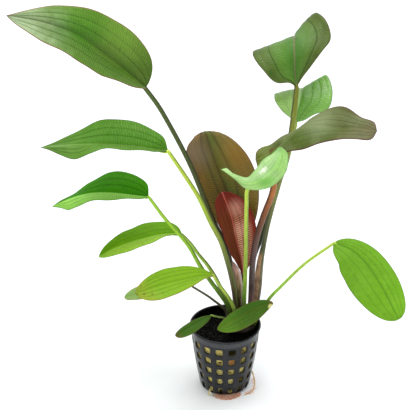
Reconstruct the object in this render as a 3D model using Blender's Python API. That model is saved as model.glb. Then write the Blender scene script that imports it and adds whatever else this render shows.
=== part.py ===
"""Potted echinodorus: a rosette of stalked leaves growing out of a small net pot filled with rockwool.

Blender 4.5. Metres, +Z up. The origin is the centre of the pot's underside, which is the face it
stands on. +X is to the right and -Y towards the viewer. Tables of places and sizes are in millimetres.
"""

import math

import bmesh
import bpy
from mathutils import Matrix, Vector

MM = 0.001
CLEARANCE = 0.4

# Pot
POT_HEIGHT = 52.5
RIM_RADIUS = 26.0
FOOT_RADIUS = 18.0
CORNER = 3.0
LIP_HEIGHT = 1.3
WALL = 1.0
HOLE_COLUMNS = 16
HOLE_ROWS = 5
HOLE_ANGLES = (10.0, 13.0)
HOLE_HEIGHT = 5.2
TOP_ROW_Z = 42.5
ROW_PITCH = 9.25
BOTTOM_THICK = 1.2
SLOT_RADII = (8.0, 13.0)

# Filling of the pot
PLUG_TOP = 45.4
SUBSTRATE_TOP = 47.3
CROWN_TOP = 50.5
CROWN_CENTRE = (11.0, 4.5)
CROWN_RADII = (11.8, 11.0)

# Blades and stems
BLADE_THICK = 0.6
STEM_SIDES = 6
STEM_STEPS = 11
STEM_END_GAP = 1.0
ACROSS = 3

# Each blade is laid out from its base to its tip. The midrib is a smooth curve through the points. A half
# is given by the curve of its edge, or by its half width, how it narrows to each end and how far it folds
# up from the flat along its length. The face is where the upper side looks at the base and at the tip.
# The stem's radii are at even steps from the crown to the blade.
LEAVES = {
    "top_left": {
        "stem": [(8.3, 8.5, 50.5), (8, 10.5, 68), (7.3, 10.5, 75.5), (5.5, 10, 87.5), (3, 10, 100),
                 (-3, 10, 119), (-7.5, 10, 128.5), (-13.5, 12, 143.5), (-25, 17, 172.5),
                 (-39, 21.5, 200.5), (-47, 22, 215.5), (-55, 22, 227.5)],
        "stem_radius": (2.0, 1.9, 1.8, 1.7, 1.6),
        "midrib": [(-55, 22, 228.5), (-79, 17, 252.5), (-99, 9, 271.5), (-120, -2, 284),
                   (-140, -12, 291.5)],
        "face": ((-90, 56), (-90, 50)),
        "left": {"width": 24.5, "ends": (0.6, 0.85), "fold": (48, -12)},
        "right": {"width": 23.6, "ends": (0.45, 1.1), "fold": (20, 15)},
        "rows": 11,
        "colour": "olive_green",
    },
    "upper_left": {
        "stem": [(5.5, 3.2, 50.5), (7, 1.5, 70.5), (4.5, 1.5, 88.5), (1, 0.5, 104.5), (-4, -1.5, 122.5),
                 (-10, -3, 136), (-20, -9, 162.5), (-28.5, -14, 180), (-39, -20, 200.5)],
        "stem_radius": (1.8, 1.8, 1.7, 1.5, 1.3),
        "midrib": [(-39, -20, 200.5), (-54, -23, 204.5), (-79, -29, 209.5), (-103, -36, 212.5),
                   (-120, -42, 213.5)],
        "face": ((-90, 80), (-90, 80)),
        "left": {"edge": [(-50, -33, 206.5), (-66, -42, 212), (-80, -46, 214), (-88, -46, 211.5),
                          (-98.5, -44, 206), (-108, -42, 208.5), (-115, -42, 212)]},
        "right": {"edge": [(-42, -14, 207.5), (-51, -9, 212.5), (-66, -8, 217.5), (-81, -12, 220),
                           (-94, -20, 217.5), (-110, -33, 214)]},
        "rows": 12,
        "colour": "leaf_green",
    },
    "middle_left": {
        "stem": [(3.2, -0.2, 50.5), (1, -1, 69.5), (-4.5, -2.5, 80), (-10, -4, 89.5), (-18.5, -9, 107),
                 (-26, -14.5, 125.5), (-43.5, -16, 150), (-53, -12, 162.5)],
        "stem_radius": (1.7, 1.6, 1.5, 1.3, 1.1),
        "midrib": [(-53, -12, 162.5), (-65.5, -14, 165), (-77, -16, 167.5), (-94, -21, 169.5),
                   (-103, -24, 168.5), (-117, -28, 163.5)],
        "face": ((-90, 80), (-90, 80)),
        "left": {"edge": [(-56.5, -20, 165.5), (-67.5, -27, 168.5), (-80, -33, 171), (-90, -35, 171),
                          (-100, -35, 167), (-105.5, -33, 163.5), (-111, -31, 164)]},
        "right": {"edge": [(-54, -7, 169.5), (-60, -3, 173.5), (-70, 1, 175), (-81, 0, 175),
                           (-91.5, -7, 172), (-102.5, -14, 166.5), (-112, -24, 165.5)]},
        "rows": 11,
        "colour": "dark_green",
    },
    "lower_left": {
        "stem": [(2.5, 8, 50.5), (3, 5.5, 68), (-3, 3, 80), (-8, 2, 91.5), (-13.5, -1, 103),
                 (-19, -4, 112.5), (-25, -5, 122.5), (-31, -7, 131)],
        "stem_radius": (1.5, 1.6, 1.5, 1.2, 1.0),
        "midrib": [(-31, -7, 131), (-46, -12, 133), (-58, -18, 133), (-77, -28, 131), (-86.5, -34, 128)],
        "face": ((-90, 81), (-90, 70)),
        "left": {"width": 12.5, "ends": (0.5, 0.7), "fold": (40, 6)},
        "right": {"width": 13.5, "ends": (0.3, 0.7), "fold": (8, 0)},
        "rows": 9,
        "colour": "yellow_green",
    },
    "front_left": {
        "stem": [(8.5, -2.7, 50.5), (5, -7, 72.5), (-5, -14, 94.5), (-9, -20, 105.5)],
        "stem_radius": (1.6, 1.4, 1.2, 1.0),
        "midrib": [(-9, -20, 105.5), (-19, -28, 109.5), (-28, -35, 111.5), (-42, -46, 114.5),
                   (-61, -60, 115.5)],
        "face": ((-90, 75), (-90, 65)),
        "left": {"width": 13, "ends": (1.0, 0.45), "fold": (20, 0)},
        "right": {"width": 12, "ends": (0.6, 0.7), "fold": (8, 5)},
        "rows": 9,
        "colour": "yellow_green",
    },
    "hidden_left": {
        "stem": [(1.5, 3.5, 50.5), (0, 2.5, 62), (-8.5, 6, 68.5), (-25, 18, 73.5)],
        "stem_radius": (1.0, 0.8),
        "midrib": [(-25, 18, 73.5), (-50, 24, 67), (-75, 28, 57.5)],
        "face": ((-90, 80), (-90, 80)),
        "left": {"width": 9.5, "ends": (0.6, 0.5), "fold": (8, 5)},
        "right": {"width": 9.5, "ends": (0.6, 0.5), "fold": (8, 5)},
        "rows": 8,
        "colour": "leaf_green",
    },
    "rim_left": {
        "stem": [(4.8, -2.8, 50.5), (-1, -3.8, 59.5), (-6, -5.2, 61.5), (-10.5, -6, 63.5)],
        "stem_radius": (0.8, 0.6),
        "midrib": [(-10.5, -6, 63.5), (-18, -10, 61.5), (-27, -14, 57.5), (-36, -18, 53.5)],
        "face": ((-90, 70), (-90, 70)),
        "left": {"width": 6.5, "ends": (0.6, 0.45), "fold": (8, 5)},
        "right": {"width": 3.5, "ends": (0.8, 0.5), "fold": (8, 5)},
        "rows": 8,
        "colour": "dark_green",
    },
    "rim_front": {
        "stem": [(17.2, -1.2, 50.5), (21, 0, 59), (28, 1, 65.5), (33, -0.5, 69.8)],
        "stem_radius": (1.4, 1.2, 1.0),
        "midrib": [(34.5, -2, 71), (26, -5, 70.5), (14, -11, 68), (2, -17, 64), (-6, -21, 61)],
        "face": ((-90, 55), (-90, 55)),
        "left": {"width": 10, "ends": (0.8, 0.6), "fold": (5, 5)},
        "right": {"width": 6, "ends": (0.5, 0.6), "fold": (5, 5)},
        "rows": 9,
        "colour": "dark_green",
    },
    "bronze_back": {
        "stem": [(10.6, 12.3, 50.5), (12, 15, 62.5), (13, 22, 80.5)],
        "stem_radius": (1.8, 1.4),
        "midrib": [(13, 22, 80.5), (7.5, 24, 115.5), (1, 28, 146.5), (-5.5, 31, 162), (-11, 35, 176.5),
                   (-15, 40.5, 186.5), (-18.5, 47, 183), (-22, 54, 174)],
        "face": ((-90, 10), (-90, 70)),
        "left": {"edge": [(4.5, 21, 98), (-2.5, 22, 116), (-8, 22.5, 127.5), (-16.5, 24, 143), (-23.5, 27, 165.5),
                          (-28, 29.5, 177), (-26.5, 31.5, 181.5), (-23, 36, 184.5), (-22.5, 43, 181.5),
                          (-23, 50, 176)]},
        "right": {"edge": [(10, 20, 103), (17.5, 18.5, 117), (22, 19, 131), (23.5, 20, 144),
                           (20, 25, 166), (12, 30, 178.5), (4, 38, 183), (-4, 43.5, 185.5),
                           (-11, 48, 183.5), (-17, 53, 178)]},
        "rows": 14,
        "colour": "bronze",
    },
    "red_young": {
        "stem": [(12, 3.8, 50.5), (10.3, 5.3, 71), (10.2, 5.3, 78), (9.6, 5.3, 83.5), (8.5, 5.5, 90),
                 (6.8, 6.2, 95.5), (5, 7.2, 100)],
        "stem_radius": (2.4, 2.4, 2.3, 2.3, 2.3, 2.4, 2.6, 2.7, 2.8, 2.5, 0.8),
        "midrib": [(12.5, 8, 89), (11, 9, 100.5), (8, 9, 113.5), (3, 12, 136.5), (-3, 15, 152.5)],
        "face": ((-62, 5), (-62, 5)),
        "left": {"width": 13.5, "ends": (0.9, 0.4), "fold": (35, 20)},
        "right": {"width": 16, "ends": (0.9, 0.65), "fold": (28, 20)},
        "rows": 10,
        "colour": "deep_red",
    },
    "pale_curled": {
        "stem": [(13, -1, 50.5), (13.4, -2, 76), (13.6, -4, 87.5), (13.8, -7, 106), (13.6, -12, 129),
                 (13.2, -21, 162.5), (13.4, -25, 174.5), (18, -28.5, 187), (26, -30, 198),
                 (34, -28.5, 206.5)],
        "stem_radius": (2.2, 1.6, 1.4, 1.4, 1.4, 1.4, 1.3),
        "midrib": [(34.5, -30, 208.5), (33, -34, 204), (30, -37.5, 199), (24.5, -41, 194), (18, -43, 190.5),
                   (10.5, -43.5, 189.5), (4, -43.5, 193.5), (-1.5, -42, 196.5), (-4.5, -40, 197)],
        "face": ((-90, 30), (-90, 60)),
        "left": {"edge": [(38.5, -32, 205.5), (39, -36, 201), (38, -39.5, 196), (34, -42.5, 191),
                          (27, -44, 186), (18.5, -45, 184.5), (11, -45, 186), (5, -44.5, 191.5),
                          (-0.5, -43, 195.5)]},
        "right": {"edge": [(30, -31, 205), (22.5, -36, 202), (17.5, -38.5, 196), (12.5, -40, 191.5),
                           (7.5, -40, 192.5), (3, -40, 194.5), (-1, -39, 197.5)]},
        "rows": 13,
        "colour": "pale_green",
    },
    "top_right": {
        "stem": [(20.3, 7.3, 50.5), (22.9, 8, 70), (23.9, 8.5, 87.5), (25.2, 9, 101.5), (27.1, 9.5, 113),
                 (29.7, 11, 128), (33.2, 14, 142.5), (37, 22, 153), (44, 31, 178), (47, 37, 198),
                 (49, 42, 219.5)],
        "stem_radius": (2.0, 2.4, 3.1, 2.5, 1.7, 1.6, 1.6, 1.6, 1.8, 2.1, 2.1, 1.7),
        "midrib": [(49, 42, 220.5), (47.5, 44, 229.5), (47, 46, 241.5), (47, 52, 248), (48, 68, 248.5),
                   (49, 88, 238.5), (49.5, 106, 223.5)],
        "face": ((-90, 20), (-90, 80)),
        "left": {"bulge": -0.04, "edge": [(43.5, 40, 224.5), (35, 40, 224.5), (25, 42, 233.5),
                                          (19, 50, 239.5), (19, 62, 239.5), (23, 82, 226.5)]},
        "right": {"edge": [(53, 43, 227.5), (59, 45, 235), (66, 49, 244), (72.5, 56, 250.5),
                           (69.5, 66, 261), (64, 75, 263.5), (59, 92, 248.5)]},
        "rows": 16,
        "colour": "olive_green",
    },
    "glossy_right": {
        "stem": [(17.2, 11.5, 50.5), (18.9, 12.5, 67), (19.2, 14, 76.5), (19.6, 15, 85.5), (21.2, 17, 99.5),
                 (25, 19, 110.5), (28.5, 22, 122), (32.5, 26, 136.5), (44, 38, 166.5), (49.5, 47, 190)],
        "stem_radius": (1.6, 1.5, 1.5, 1.4),
        "midrib": [(49.5, 48, 191), (51, 50, 199), (53.5, 56, 206.5), (55, 70, 208), (57, 86, 197),
                   (58.5, 98, 182.5)],
        "face": ((-90, 20), (-90, 80)),
        "left": {"edge": [(45.5, 46, 195.5), (39.5, 47, 200.5), (35.5, 50, 205), (34.5, 60, 207),
                          (41, 80, 194.5)]},
        "right": {"edge": [(55, 49, 192), (62.5, 50, 196), (73, 54, 199), (76.5, 62, 207.5),
                           (73.5, 76, 215.5), (66, 90, 200.5)]},
        "rows": 11,
        "colour": "pale_green",
    },
    "bronze_right": {
        "stem": [(17.8, 3, 50.5), (18.5, 3, 72.5), (18.7, 1.5, 92.5), (19.1, 0.5, 104), (21.1, -2, 123.5),
                 (25.8, -7, 146), (30.5, -11, 163.5), (31.2, -13, 168.5), (31, -19, 199.5)],
        "stem_radius": (2.1, 2.1, 2.2, 2.2, 2.0),
        "midrib": [(18.5, -20.5, 194.5), (30.5, -19, 201.5), (39.5, -22, 211), (49, -24, 219.5),
                   (59.5, -27, 222), (72.5, -32, 223), (82, -37, 225), (94, -44, 226)],
        "face": ((-90, 55), (-90, 70)),
        "left": {"edge": [(19, -17.5, 198.5), (23, -13, 200.5), (28, -11, 201), (35.5, -11, 206.5),
                          (47, -12, 213.5), (56.5, -14, 222.5), (66.5, -18, 231), (75, -24, 234),
                          (85.5, -31, 230), (93, -38, 229)]},
        "right": {"edge": [(21, -24, 189), (29, -26, 195), (38.5, -30, 204.5), (48.5, -34, 208.5),
                           (59, -37, 214), (68.5, -42, 219), (80.5, -47, 221.5), (90.5, -48, 222.5)]},
        "rows": 13,
        "colour": "bronze",
    },
    "far_right": {
        "stem": [(21, 0.5, 50.5), (24.2, 3.5, 61.5), (29.6, 5, 67), (32.7, 4, 72.5), (40.3, 3, 82.5),
                 (56, -4, 105.5), (75, -10, 125.5)],
        "stem_radius": (1.3, 1.2, 1.1, 1.0),
        "midrib": [(75, -10, 125.5), (86, -14, 122.5), (96, -20, 115.5), (106, -30, 103.5),
                   (118, -44, 84.5)],
        "face": ((-110, 55), (-110, 55)),
        "left": {"width": 13, "ends": (0.6, 0.45), "fold": (8, 5)},
        "right": {"width": 20.5, "ends": (0.45, 0.5), "fold": (8, 5)},
        "rows": 11,
        "colour": "leaf_green",
    },
}

BLADE_COLOURS = {
    "leaf_green": (0.09, 0.3, 0.035),
    "olive_green": (0.12, 0.27, 0.045),
    "dark_green": (0.05, 0.2, 0.015),
    "yellow_green": (0.25, 0.48, 0.04),
    "pale_green": (0.24, 0.48, 0.15),
    "bronze": (0.14, 0.12, 0.035),
    "deep_red": (0.22, 0.02, 0.015),
}
STEM_COLOURS = {
    "leaf_green": (0.35, 0.55, 0.08),
    "olive_green": (0.09, 0.1, 0.03),
    "dark_green": (0.3, 0.55, 0.05),
    "yellow_green": (0.35, 0.6, 0.06),
    "pale_green": (0.38, 0.65, 0.08),
    "bronze": (0.2, 0.1, 0.05),
    "deep_red": (0.4, 0.2, 0.12),
}


def clear_scene():
    for obj in list(bpy.data.objects):
        bpy.data.objects.remove(obj, do_unlink=True)


def material(name, colour, roughness):
    made = bpy.data.materials.new(name)
    made.use_nodes = True
    shader = made.node_tree.nodes["Principled BSDF"]
    shader.inputs["Base Color"].default_value = (*colour, 1.0)
    shader.inputs["Roughness"].default_value = roughness
    shader.inputs["Metallic"].default_value = 0.0
    return made


def add_object(name, data, colour, roughness):
    obj = bpy.data.objects.new(name, data)
    obj.data.materials.append(material(name, colour, roughness))
    bpy.context.scene.collection.objects.link(obj)
    return obj


def mesh_object(name, form, colour, roughness, sharp=40):
    """Turns a bmesh in millimetres into a named object in metres, with its faces pointing out."""
    bmesh.ops.recalc_face_normals(form, faces=form.faces)
    bmesh.ops.transform(form, matrix=Matrix.Scale(MM, 4), verts=form.verts)
    mesh = bpy.data.meshes.new(name)
    form.to_mesh(mesh)
    form.free()
    mesh.shade_smooth()
    mesh.set_sharp_from_angle(angle=math.radians(sharp))
    return add_object(name, mesh, colour, roughness)


def tube(name, path, radii, sides, colour, roughness):
    """A round solid that follows a path in millimetres, with flat ends."""
    curve = bpy.data.curves.new(name, "CURVE")
    curve.dimensions = "3D"
    curve.bevel_depth = MM
    curve.bevel_resolution = (sides - 4) // 2
    curve.use_fill_caps = True
    spline = curve.splines.new("POLY")
    spline.points.add(len(path) - 1)
    for point, place, radius in zip(spline.points, path, radii):
        point.co = (*(Vector(place) * MM), 1.0)
        point.radius = radius
    return add_object(name, curve, colour, roughness)


def value_at(values, share):
    """The value at this share of a length, from values at even steps along it."""
    place = share * (len(values) - 1)
    step = min(int(place), len(values) - 2)
    between = place - step
    return values[step] * (1 - between) + values[step + 1] * between


def evenly(count):
    return [i / count for i in range(count + 1)]


def smooth_path(points, shares):
    """Points at these shares of the length of a smooth curve through the given points."""
    points = [Vector(p) for p in points]
    knots = [0.0]
    for a, b in zip(points, points[1:]):
        knots.append(knots[-1] + (b - a).length)
    slopes = [(points[1] - points[0]) / knots[1]]
    for i in range(1, len(points) - 1):
        before = (points[i] - points[i - 1]) / (knots[i] - knots[i - 1])
        after = (points[i + 1] - points[i]) / (knots[i + 1] - knots[i])
        share = (knots[i] - knots[i - 1]) / (knots[i + 1] - knots[i - 1])
        slopes.append(before.lerp(after, share))
    slopes.append((points[-1] - points[-2]) / (knots[-1] - knots[-2]))
    path = []
    i = 0
    for share in shares:
        at = knots[-1] * share
        while i < len(points) - 2 and at > knots[i + 1]:
            i += 1
        span = knots[i + 1] - knots[i]
        t = (at - knots[i]) / span
        path.append(
            points[i] * (1 + 2 * t) * (1 - t) ** 2
            + slopes[i] * span * t * (1 - t) ** 2
            + points[i + 1] * t * t * (3 - 2 * t)
            + slopes[i + 1] * span * t * t * (t - 1)
        )
    return path


def direction(azimuth, elevation):
    azimuth, elevation = math.radians(azimuth), math.radians(elevation)
    level = math.cos(elevation)
    return Vector((level * math.cos(azimuth), level * math.sin(azimuth), math.sin(elevation)))


def folded_half(half, middle, forward, facing, side, u):
    """Points from the midrib out to the margin, over a half that folds up from the flat."""
    low, high = half["ends"]
    widest = low / (low + high)
    step = half["width"] / ACROSS * (u / widest) ** low * ((1 - u) / (1 - widest)) ** high
    turn = math.radians(value_at(half["fold"], u))
    outward = forward.cross(facing) * side
    reach = (outward * math.cos(turn) + facing * math.sin(turn)) * step
    return [middle + reach * k for k in range(1, ACROSS + 1)]


def edged_half(half, middle, edge, forward, side):
    """Points from the midrib out to the edge, over a half that may bulge towards its upper face."""
    lift = (edge - middle).cross(forward) * side * half.get("bulge", 0)
    points = []
    for k in range(1, ACROSS + 1):
        share = k / ACROSS
        points.append(middle.lerp(edge, share) + lift * 4 * share * (1 - share))
    return points


def blade_rows(leaf):
    """The base, the rows of points over the blade from its left to its right margin, and the tip."""
    count = leaf["rows"]
    shares = [(1 - math.cos(math.pi * i / count)) / 2 for i in range(count + 1)]
    midrib = smooth_path(leaf["midrib"], shares)
    edges = {}
    for key in ("left", "right"):
        if "edge" in leaf[key]:
            edges[key] = smooth_path([midrib[0]] + leaf[key]["edge"] + [midrib[-1]], shares)
    rows = []
    for i in range(1, count):
        u = shares[i]
        forward = (midrib[i + 1] - midrib[i - 1]).normalized()
        facing = direction(*leaf["face"][0]).lerp(direction(*leaf["face"][1]), u)
        facing = (facing - forward * facing.dot(forward)).normalized()
        halves = []
        for key, side in (("left", -1), ("right", 1)):
            if key in edges:
                halves.append(edged_half(leaf[key], midrib[i], edges[key][i], forward, side))
            else:
                halves.append(folded_half(leaf[key], midrib[i], forward, facing, side, u))
        rows.append(halves[0][::-1] + [midrib[i]] + halves[1])
    return midrib[0], rows, midrib[-1]


def blade(name, leaf):
    """A thin blade: a sheet of faces over the rows, given its thickness on both sides."""
    base, rows, tip = blade_rows(leaf)
    form = bmesh.new()
    base = form.verts.new(base)
    tip = form.verts.new(tip)
    rows = [[form.verts.new(point) for point in row] for row in rows]
    for one, other in zip(rows, rows[1:]):
        for k in range(len(one) - 1):
            form.faces.new((one[k], one[k + 1], other[k + 1], other[k]))
    for k in range(len(rows[0]) - 1):
        form.faces.new((base, rows[0][k + 1], rows[0][k]))
        form.faces.new((tip, rows[-1][k], rows[-1][k + 1]))
    obj = mesh_object(name, form, BLADE_COLOURS[leaf["colour"]], 0.4)
    thick = obj.modifiers.new("thickness", "SOLIDIFY")
    thick.thickness = BLADE_THICK * MM
    thick.offset = 0.0
    return obj


def stem(name, leaf):
    """A round stem from the crown up to its blade, ending just short of the blade."""
    foot = leaf["stem_radius"][0]
    points = [Vector(p) for p in leaf["stem"]]
    tilt = points[1] - points[0]
    points[0].z = CROWN_TOP + CLEARANCE + foot * Vector((tilt.x, tilt.y)).length / tilt.length
    points[-1] += (points[-2] - points[-1]).normalized() * STEM_END_GAP
    path = smooth_path(points, evenly(STEM_STEPS))
    radii = [value_at(leaf["stem_radius"], share) for share in evenly(STEM_STEPS)]
    return tube(name, path, radii, STEM_SIDES, STEM_COLOURS[leaf["colour"]], 0.4)


# The pot, its filling and the crown


def wall_radius(z):
    """Outer radius of the wall, which leans out less towards the rim and is round at the foot."""
    radius = FOOT_RADIUS + 0.195 * z - 0.00102 * z * z
    if z < CORNER:
        radius -= CORNER - math.sqrt(CORNER * CORNER - (CORNER - z) ** 2)
    return radius


def ring(form, radius, z):
    """Points round the pot in pairs, with a column of holes between each pair. The holes widen upwards."""
    pitch = 360 / HOLE_COLUMNS
    low, high = HOLE_ANGLES
    width = low + (high - low) * z / POT_HEIGHT
    points = []
    for column in range(HOLE_COLUMNS):
        for side in (-1, 1):
            angle = math.radians(-90 + pitch / 2 + column * pitch + side * width / 2)
            points.append(form.verts.new((radius * math.cos(angle), radius * math.sin(angle), z)))
    return points


def band(form, lower, upper, holes=False):
    """Faces between two rings. With holes, every other face is left out."""
    count = len(lower)
    for i in range(0, count):
        if holes and i % 2 == 0:
            continue
        k = (i + 1) % count
        form.faces.new((lower[i], lower[k], upper[k], upper[i]))


def hole_sides(form, outer_lower, outer_upper, inner_lower, inner_upper):
    """The four faces inside each hole, from the outer to the inner ring points."""
    for i in range(0, len(outer_lower), 2):
        k = i + 1
        outer = (outer_lower[i], outer_lower[k], outer_upper[k], outer_upper[i])
        inner = (inner_lower[i], inner_lower[k], inner_upper[k], inner_upper[i])
        for n in range(4):
            m = (n + 1) % 4
            form.faces.new((outer[n], outer[m], inner[m], inner[n]))


def pot():
    """The moulded net pot: rings of points outside and inside, with faces that leave the holes open."""
    form = bmesh.new()
    levels = [0.0, BOTTOM_THICK]
    holes_start = []
    for row in range(HOLE_ROWS - 1, -1, -1):
        middle = TOP_ROW_Z - row * ROW_PITCH
        holes_start.append(len(levels))
        levels += [middle - HOLE_HEIGHT / 2, middle + HOLE_HEIGHT / 2]
    levels.append(POT_HEIGHT - LIP_HEIGHT)

    outer = [ring(form, wall_radius(z), z) for z in levels]
    inner = [ring(form, wall_radius(z) - WALL, z) for z in levels[1:]]
    lip_low = ring(form, RIM_RADIUS, levels[-1])
    lip_high = ring(form, RIM_RADIUS, POT_HEIGHT)
    mouth = ring(form, wall_radius(POT_HEIGHT) - WALL, POT_HEIGHT)
    for i in range(len(outer) - 1):
        band(form, outer[i], outer[i + 1], holes=i in holes_start)
    for i in range(len(inner) - 1):
        band(form, inner[i], inner[i + 1], holes=i + 1 in holes_start)
    for i in holes_start:
        hole_sides(form, outer[i], outer[i + 1], inner[i - 1], inner[i])
    band(form, outer[-1], lip_low)
    band(form, lip_low, lip_high)
    band(form, lip_high, mouth)
    band(form, inner[-1], mouth)

    slot_in, slot_out = SLOT_RADII
    under = [ring(form, slot_out, 0.0), ring(form, slot_in, 0.0)]
    over = [ring(form, slot_out, BOTTOM_THICK), ring(form, slot_in, BOTTOM_THICK)]
    band(form, outer[0], under[0])
    band(form, inner[0], over[0])
    band(form, under[0], under[1], holes=True)
    band(form, over[0], over[1], holes=True)
    hole_sides(form, under[0], under[1], over[0], over[1])
    form.faces.new(under[1])
    form.faces.new(over[1])
    return mesh_object("pot", form, (0.04, 0.042, 0.046), 0.5, sharp=25)


def turned(name, rings, colour):
    """A solid inside the pot: rings from its bottom to its top, closed by a flat face at each end."""
    form = bmesh.new()
    made = [ring(form, radius, z) for radius, z in rings]
    for lower, upper in zip(made, made[1:]):
        band(form, lower, upper)
    form.faces.new(made[0])
    form.faces.new(made[-1])
    return mesh_object(name, form, colour, 0.9)


def inside(z):
    return wall_radius(z) - WALL - CLEARANCE


def rockwool_plug():
    bottom = BOTTOM_THICK + CLEARANCE
    rings = [(inside(bottom), bottom), (inside(4.0), 4.0), (inside(PLUG_TOP), PLUG_TOP)]
    return turned("rockwool_plug", rings, (0.4, 0.33, 0.14))


def dark_substrate():
    bottom = PLUG_TOP + CLEARANCE
    edge = SUBSTRATE_TOP - 0.8
    rings = [(inside(bottom), bottom), (inside(edge), edge), (22.3, SUBSTRATE_TOP - 0.2)]
    rings.append((19.0, SUBSTRATE_TOP))
    return turned("dark_substrate", rings, (0.015, 0.013, 0.012))


def crown():
    """The low rootstock: a flat-topped cushion under all the stems."""
    form = bmesh.new()
    bottom = SUBSTRATE_TOP + CLEARANCE
    levels = [(0.93, bottom), (1.0, bottom + 1.2), (0.98, CROWN_TOP - 0.4), (0.94, CROWN_TOP)]
    rings = []
    for share, z in levels:
        points = []
        for i in range(20):
            angle = math.tau * i / 20
            x = CROWN_CENTRE[0] + CROWN_RADII[0] * share * math.cos(angle)
            y = CROWN_CENTRE[1] + CROWN_RADII[1] * share * math.sin(angle)
            points.append(form.verts.new((x, y, z)))
        rings.append(points)
    for lower, upper in zip(rings, rings[1:]):
        band(form, lower, upper)
    form.faces.new(rings[0])
    form.faces.new(rings[-1])
    return mesh_object("crown", form, (0.2, 0.16, 0.07), 0.7)


def roots():
    """Roots that have come out of the pot: a loop on the right, a strand at the left and a mat in front."""
    loop = [(20, -8, 15.5), (21.3, -9, 11), (22, -10.5, 6), (21, -12, 2.5), (18.5, -13.8, 0.8),
            (14.5, -16.5, 0.6)]
    path = smooth_path(loop, evenly(12))
    tube("root_loop", path, [0.45] * 13, 6, (0.45, 0.3, 0.14), 0.6)

    strand = [(-10.7, -16.1, 5.5), (-11.6, -17.5, 4), (-11.4, -17.6, 1.8), (-12.6, -17, 0.8)]
    path = smooth_path(strand, evenly(6))
    tube("root_strand", path, [0.7, 0.8, 0.8, 0.75, 0.7, 0.6, 0.5], 6, (0.65, 0.55, 0.3), 0.6)

    form = bmesh.new()
    rows = []
    for i in range(15):
        share = i / 14
        angle = math.radians(-119 + 67 * share)
        fat = math.sin(math.pi * (0.08 + 0.84 * share)) ** 0.6
        outer = 17.5 + 5 * fat
        section = [(17.2, 0.1), (outer, 0.1), (outer + 0.2, 0.2 + 0.8 * fat)]
        section.append((18.5 + 0.6 * fat, 0.9 + 1.7 * fat))
        rows.append([form.verts.new((r * math.cos(angle), r * math.sin(angle), z)) for r, z in section])
    for one, other in zip(rows, rows[1:]):
        band(form, one, other)
    form.faces.new(rows[0])
    form.faces.new(rows[-1])
    mesh_object("root_mat", form, (0.45, 0.2, 0.12), 0.8)


def main():
    clear_scene()
    pot()
    rockwool_plug()
    dark_substrate()
    crown()
    roots()
    for name, leaf in LEAVES.items():
        stem("stem_" + name, leaf)
        blade("leaf_" + name, leaf)


main()
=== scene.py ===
import math
import random

import bmesh
import bpy
from mathutils import Matrix, Vector, noise


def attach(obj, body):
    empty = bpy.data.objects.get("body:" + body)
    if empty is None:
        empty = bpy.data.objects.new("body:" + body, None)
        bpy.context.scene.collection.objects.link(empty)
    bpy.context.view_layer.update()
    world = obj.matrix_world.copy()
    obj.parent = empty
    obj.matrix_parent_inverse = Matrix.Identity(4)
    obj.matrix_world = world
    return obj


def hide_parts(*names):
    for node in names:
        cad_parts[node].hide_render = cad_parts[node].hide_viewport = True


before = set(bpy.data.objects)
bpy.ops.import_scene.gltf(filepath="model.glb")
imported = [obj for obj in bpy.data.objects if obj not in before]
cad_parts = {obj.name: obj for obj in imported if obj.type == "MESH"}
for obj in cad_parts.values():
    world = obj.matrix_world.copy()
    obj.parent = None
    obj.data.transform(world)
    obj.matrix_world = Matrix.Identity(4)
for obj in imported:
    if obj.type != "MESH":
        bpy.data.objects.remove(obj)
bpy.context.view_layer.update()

# The pot: a small net pot, injection-moulded in one shot of charcoal polypropylene. A plain band runs under
# its rolled lip, the wall is cut by five rows of square holes with softened corners, and the flat bottom
# that it stands on has radial slots.
MM = 0.001
POT_HEIGHT = 52.5
FOOT_RADIUS = 18.0
FOOT_CORNER = 3.0
# How far the wall leans out in each millimetre above the foot, and how much of that it loses on the way up.
LEAN = 0.195
LEAN_FADE = 0.00102
WALL = 1.0
BOTTOM_THICK = 1.2
HOLE_COLUMNS = 16
HOLE_ROWS = 5
HOLE_ANGLES = (10.0, 13.0)
HOLE_HEIGHT = 5.2
TOP_ROW_Z = 42.5
ROW_PITCH = 9.25
SLOT_MIDDLE = 10.5
SLOT_HALF = 2.5
SLOT_CELL = 4.0
STEPS_PER_HOLE = 6
WALL_DEGREES_PER_MM = 2.6
BOTTOM_DEGREES_PER_MM = 5.5
# A hole's rings: how far out from the hole, in millimetres, and how deep, in shares of the wall. None is the
# edge of the panel that the hole is in.
HOLE_RINGS = (
    (None, 0.0), (0.55, 0.0), (0.3, 0.02), (0.12, 0.1), (0.02, 0.28), (0.0, 0.7), (0.2, 1.0), (None, 1.0),
)
LIP = [
    (25.5, 51.05), (25.85, 51.25), (26.0, 51.55), (26.0, 52.05), (25.85, 52.35), (25.55, 52.5),
    (24.9, 52.5), (24.6, 52.35), (24.45, 52.0),
]
SHARP_ANGLE = 35


def shade(red, green, blue):
    """A colour as it looks on a screen, 0 to 255 for each part, turned into the light that it reflects."""
    parts = []
    for part in (red, green, blue):
        part /= 255
        parts.append(part / 12.92 if part <= 0.04045 else ((part + 0.055) / 1.055) ** 2.4)
    return (*parts, 1.0)


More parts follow.
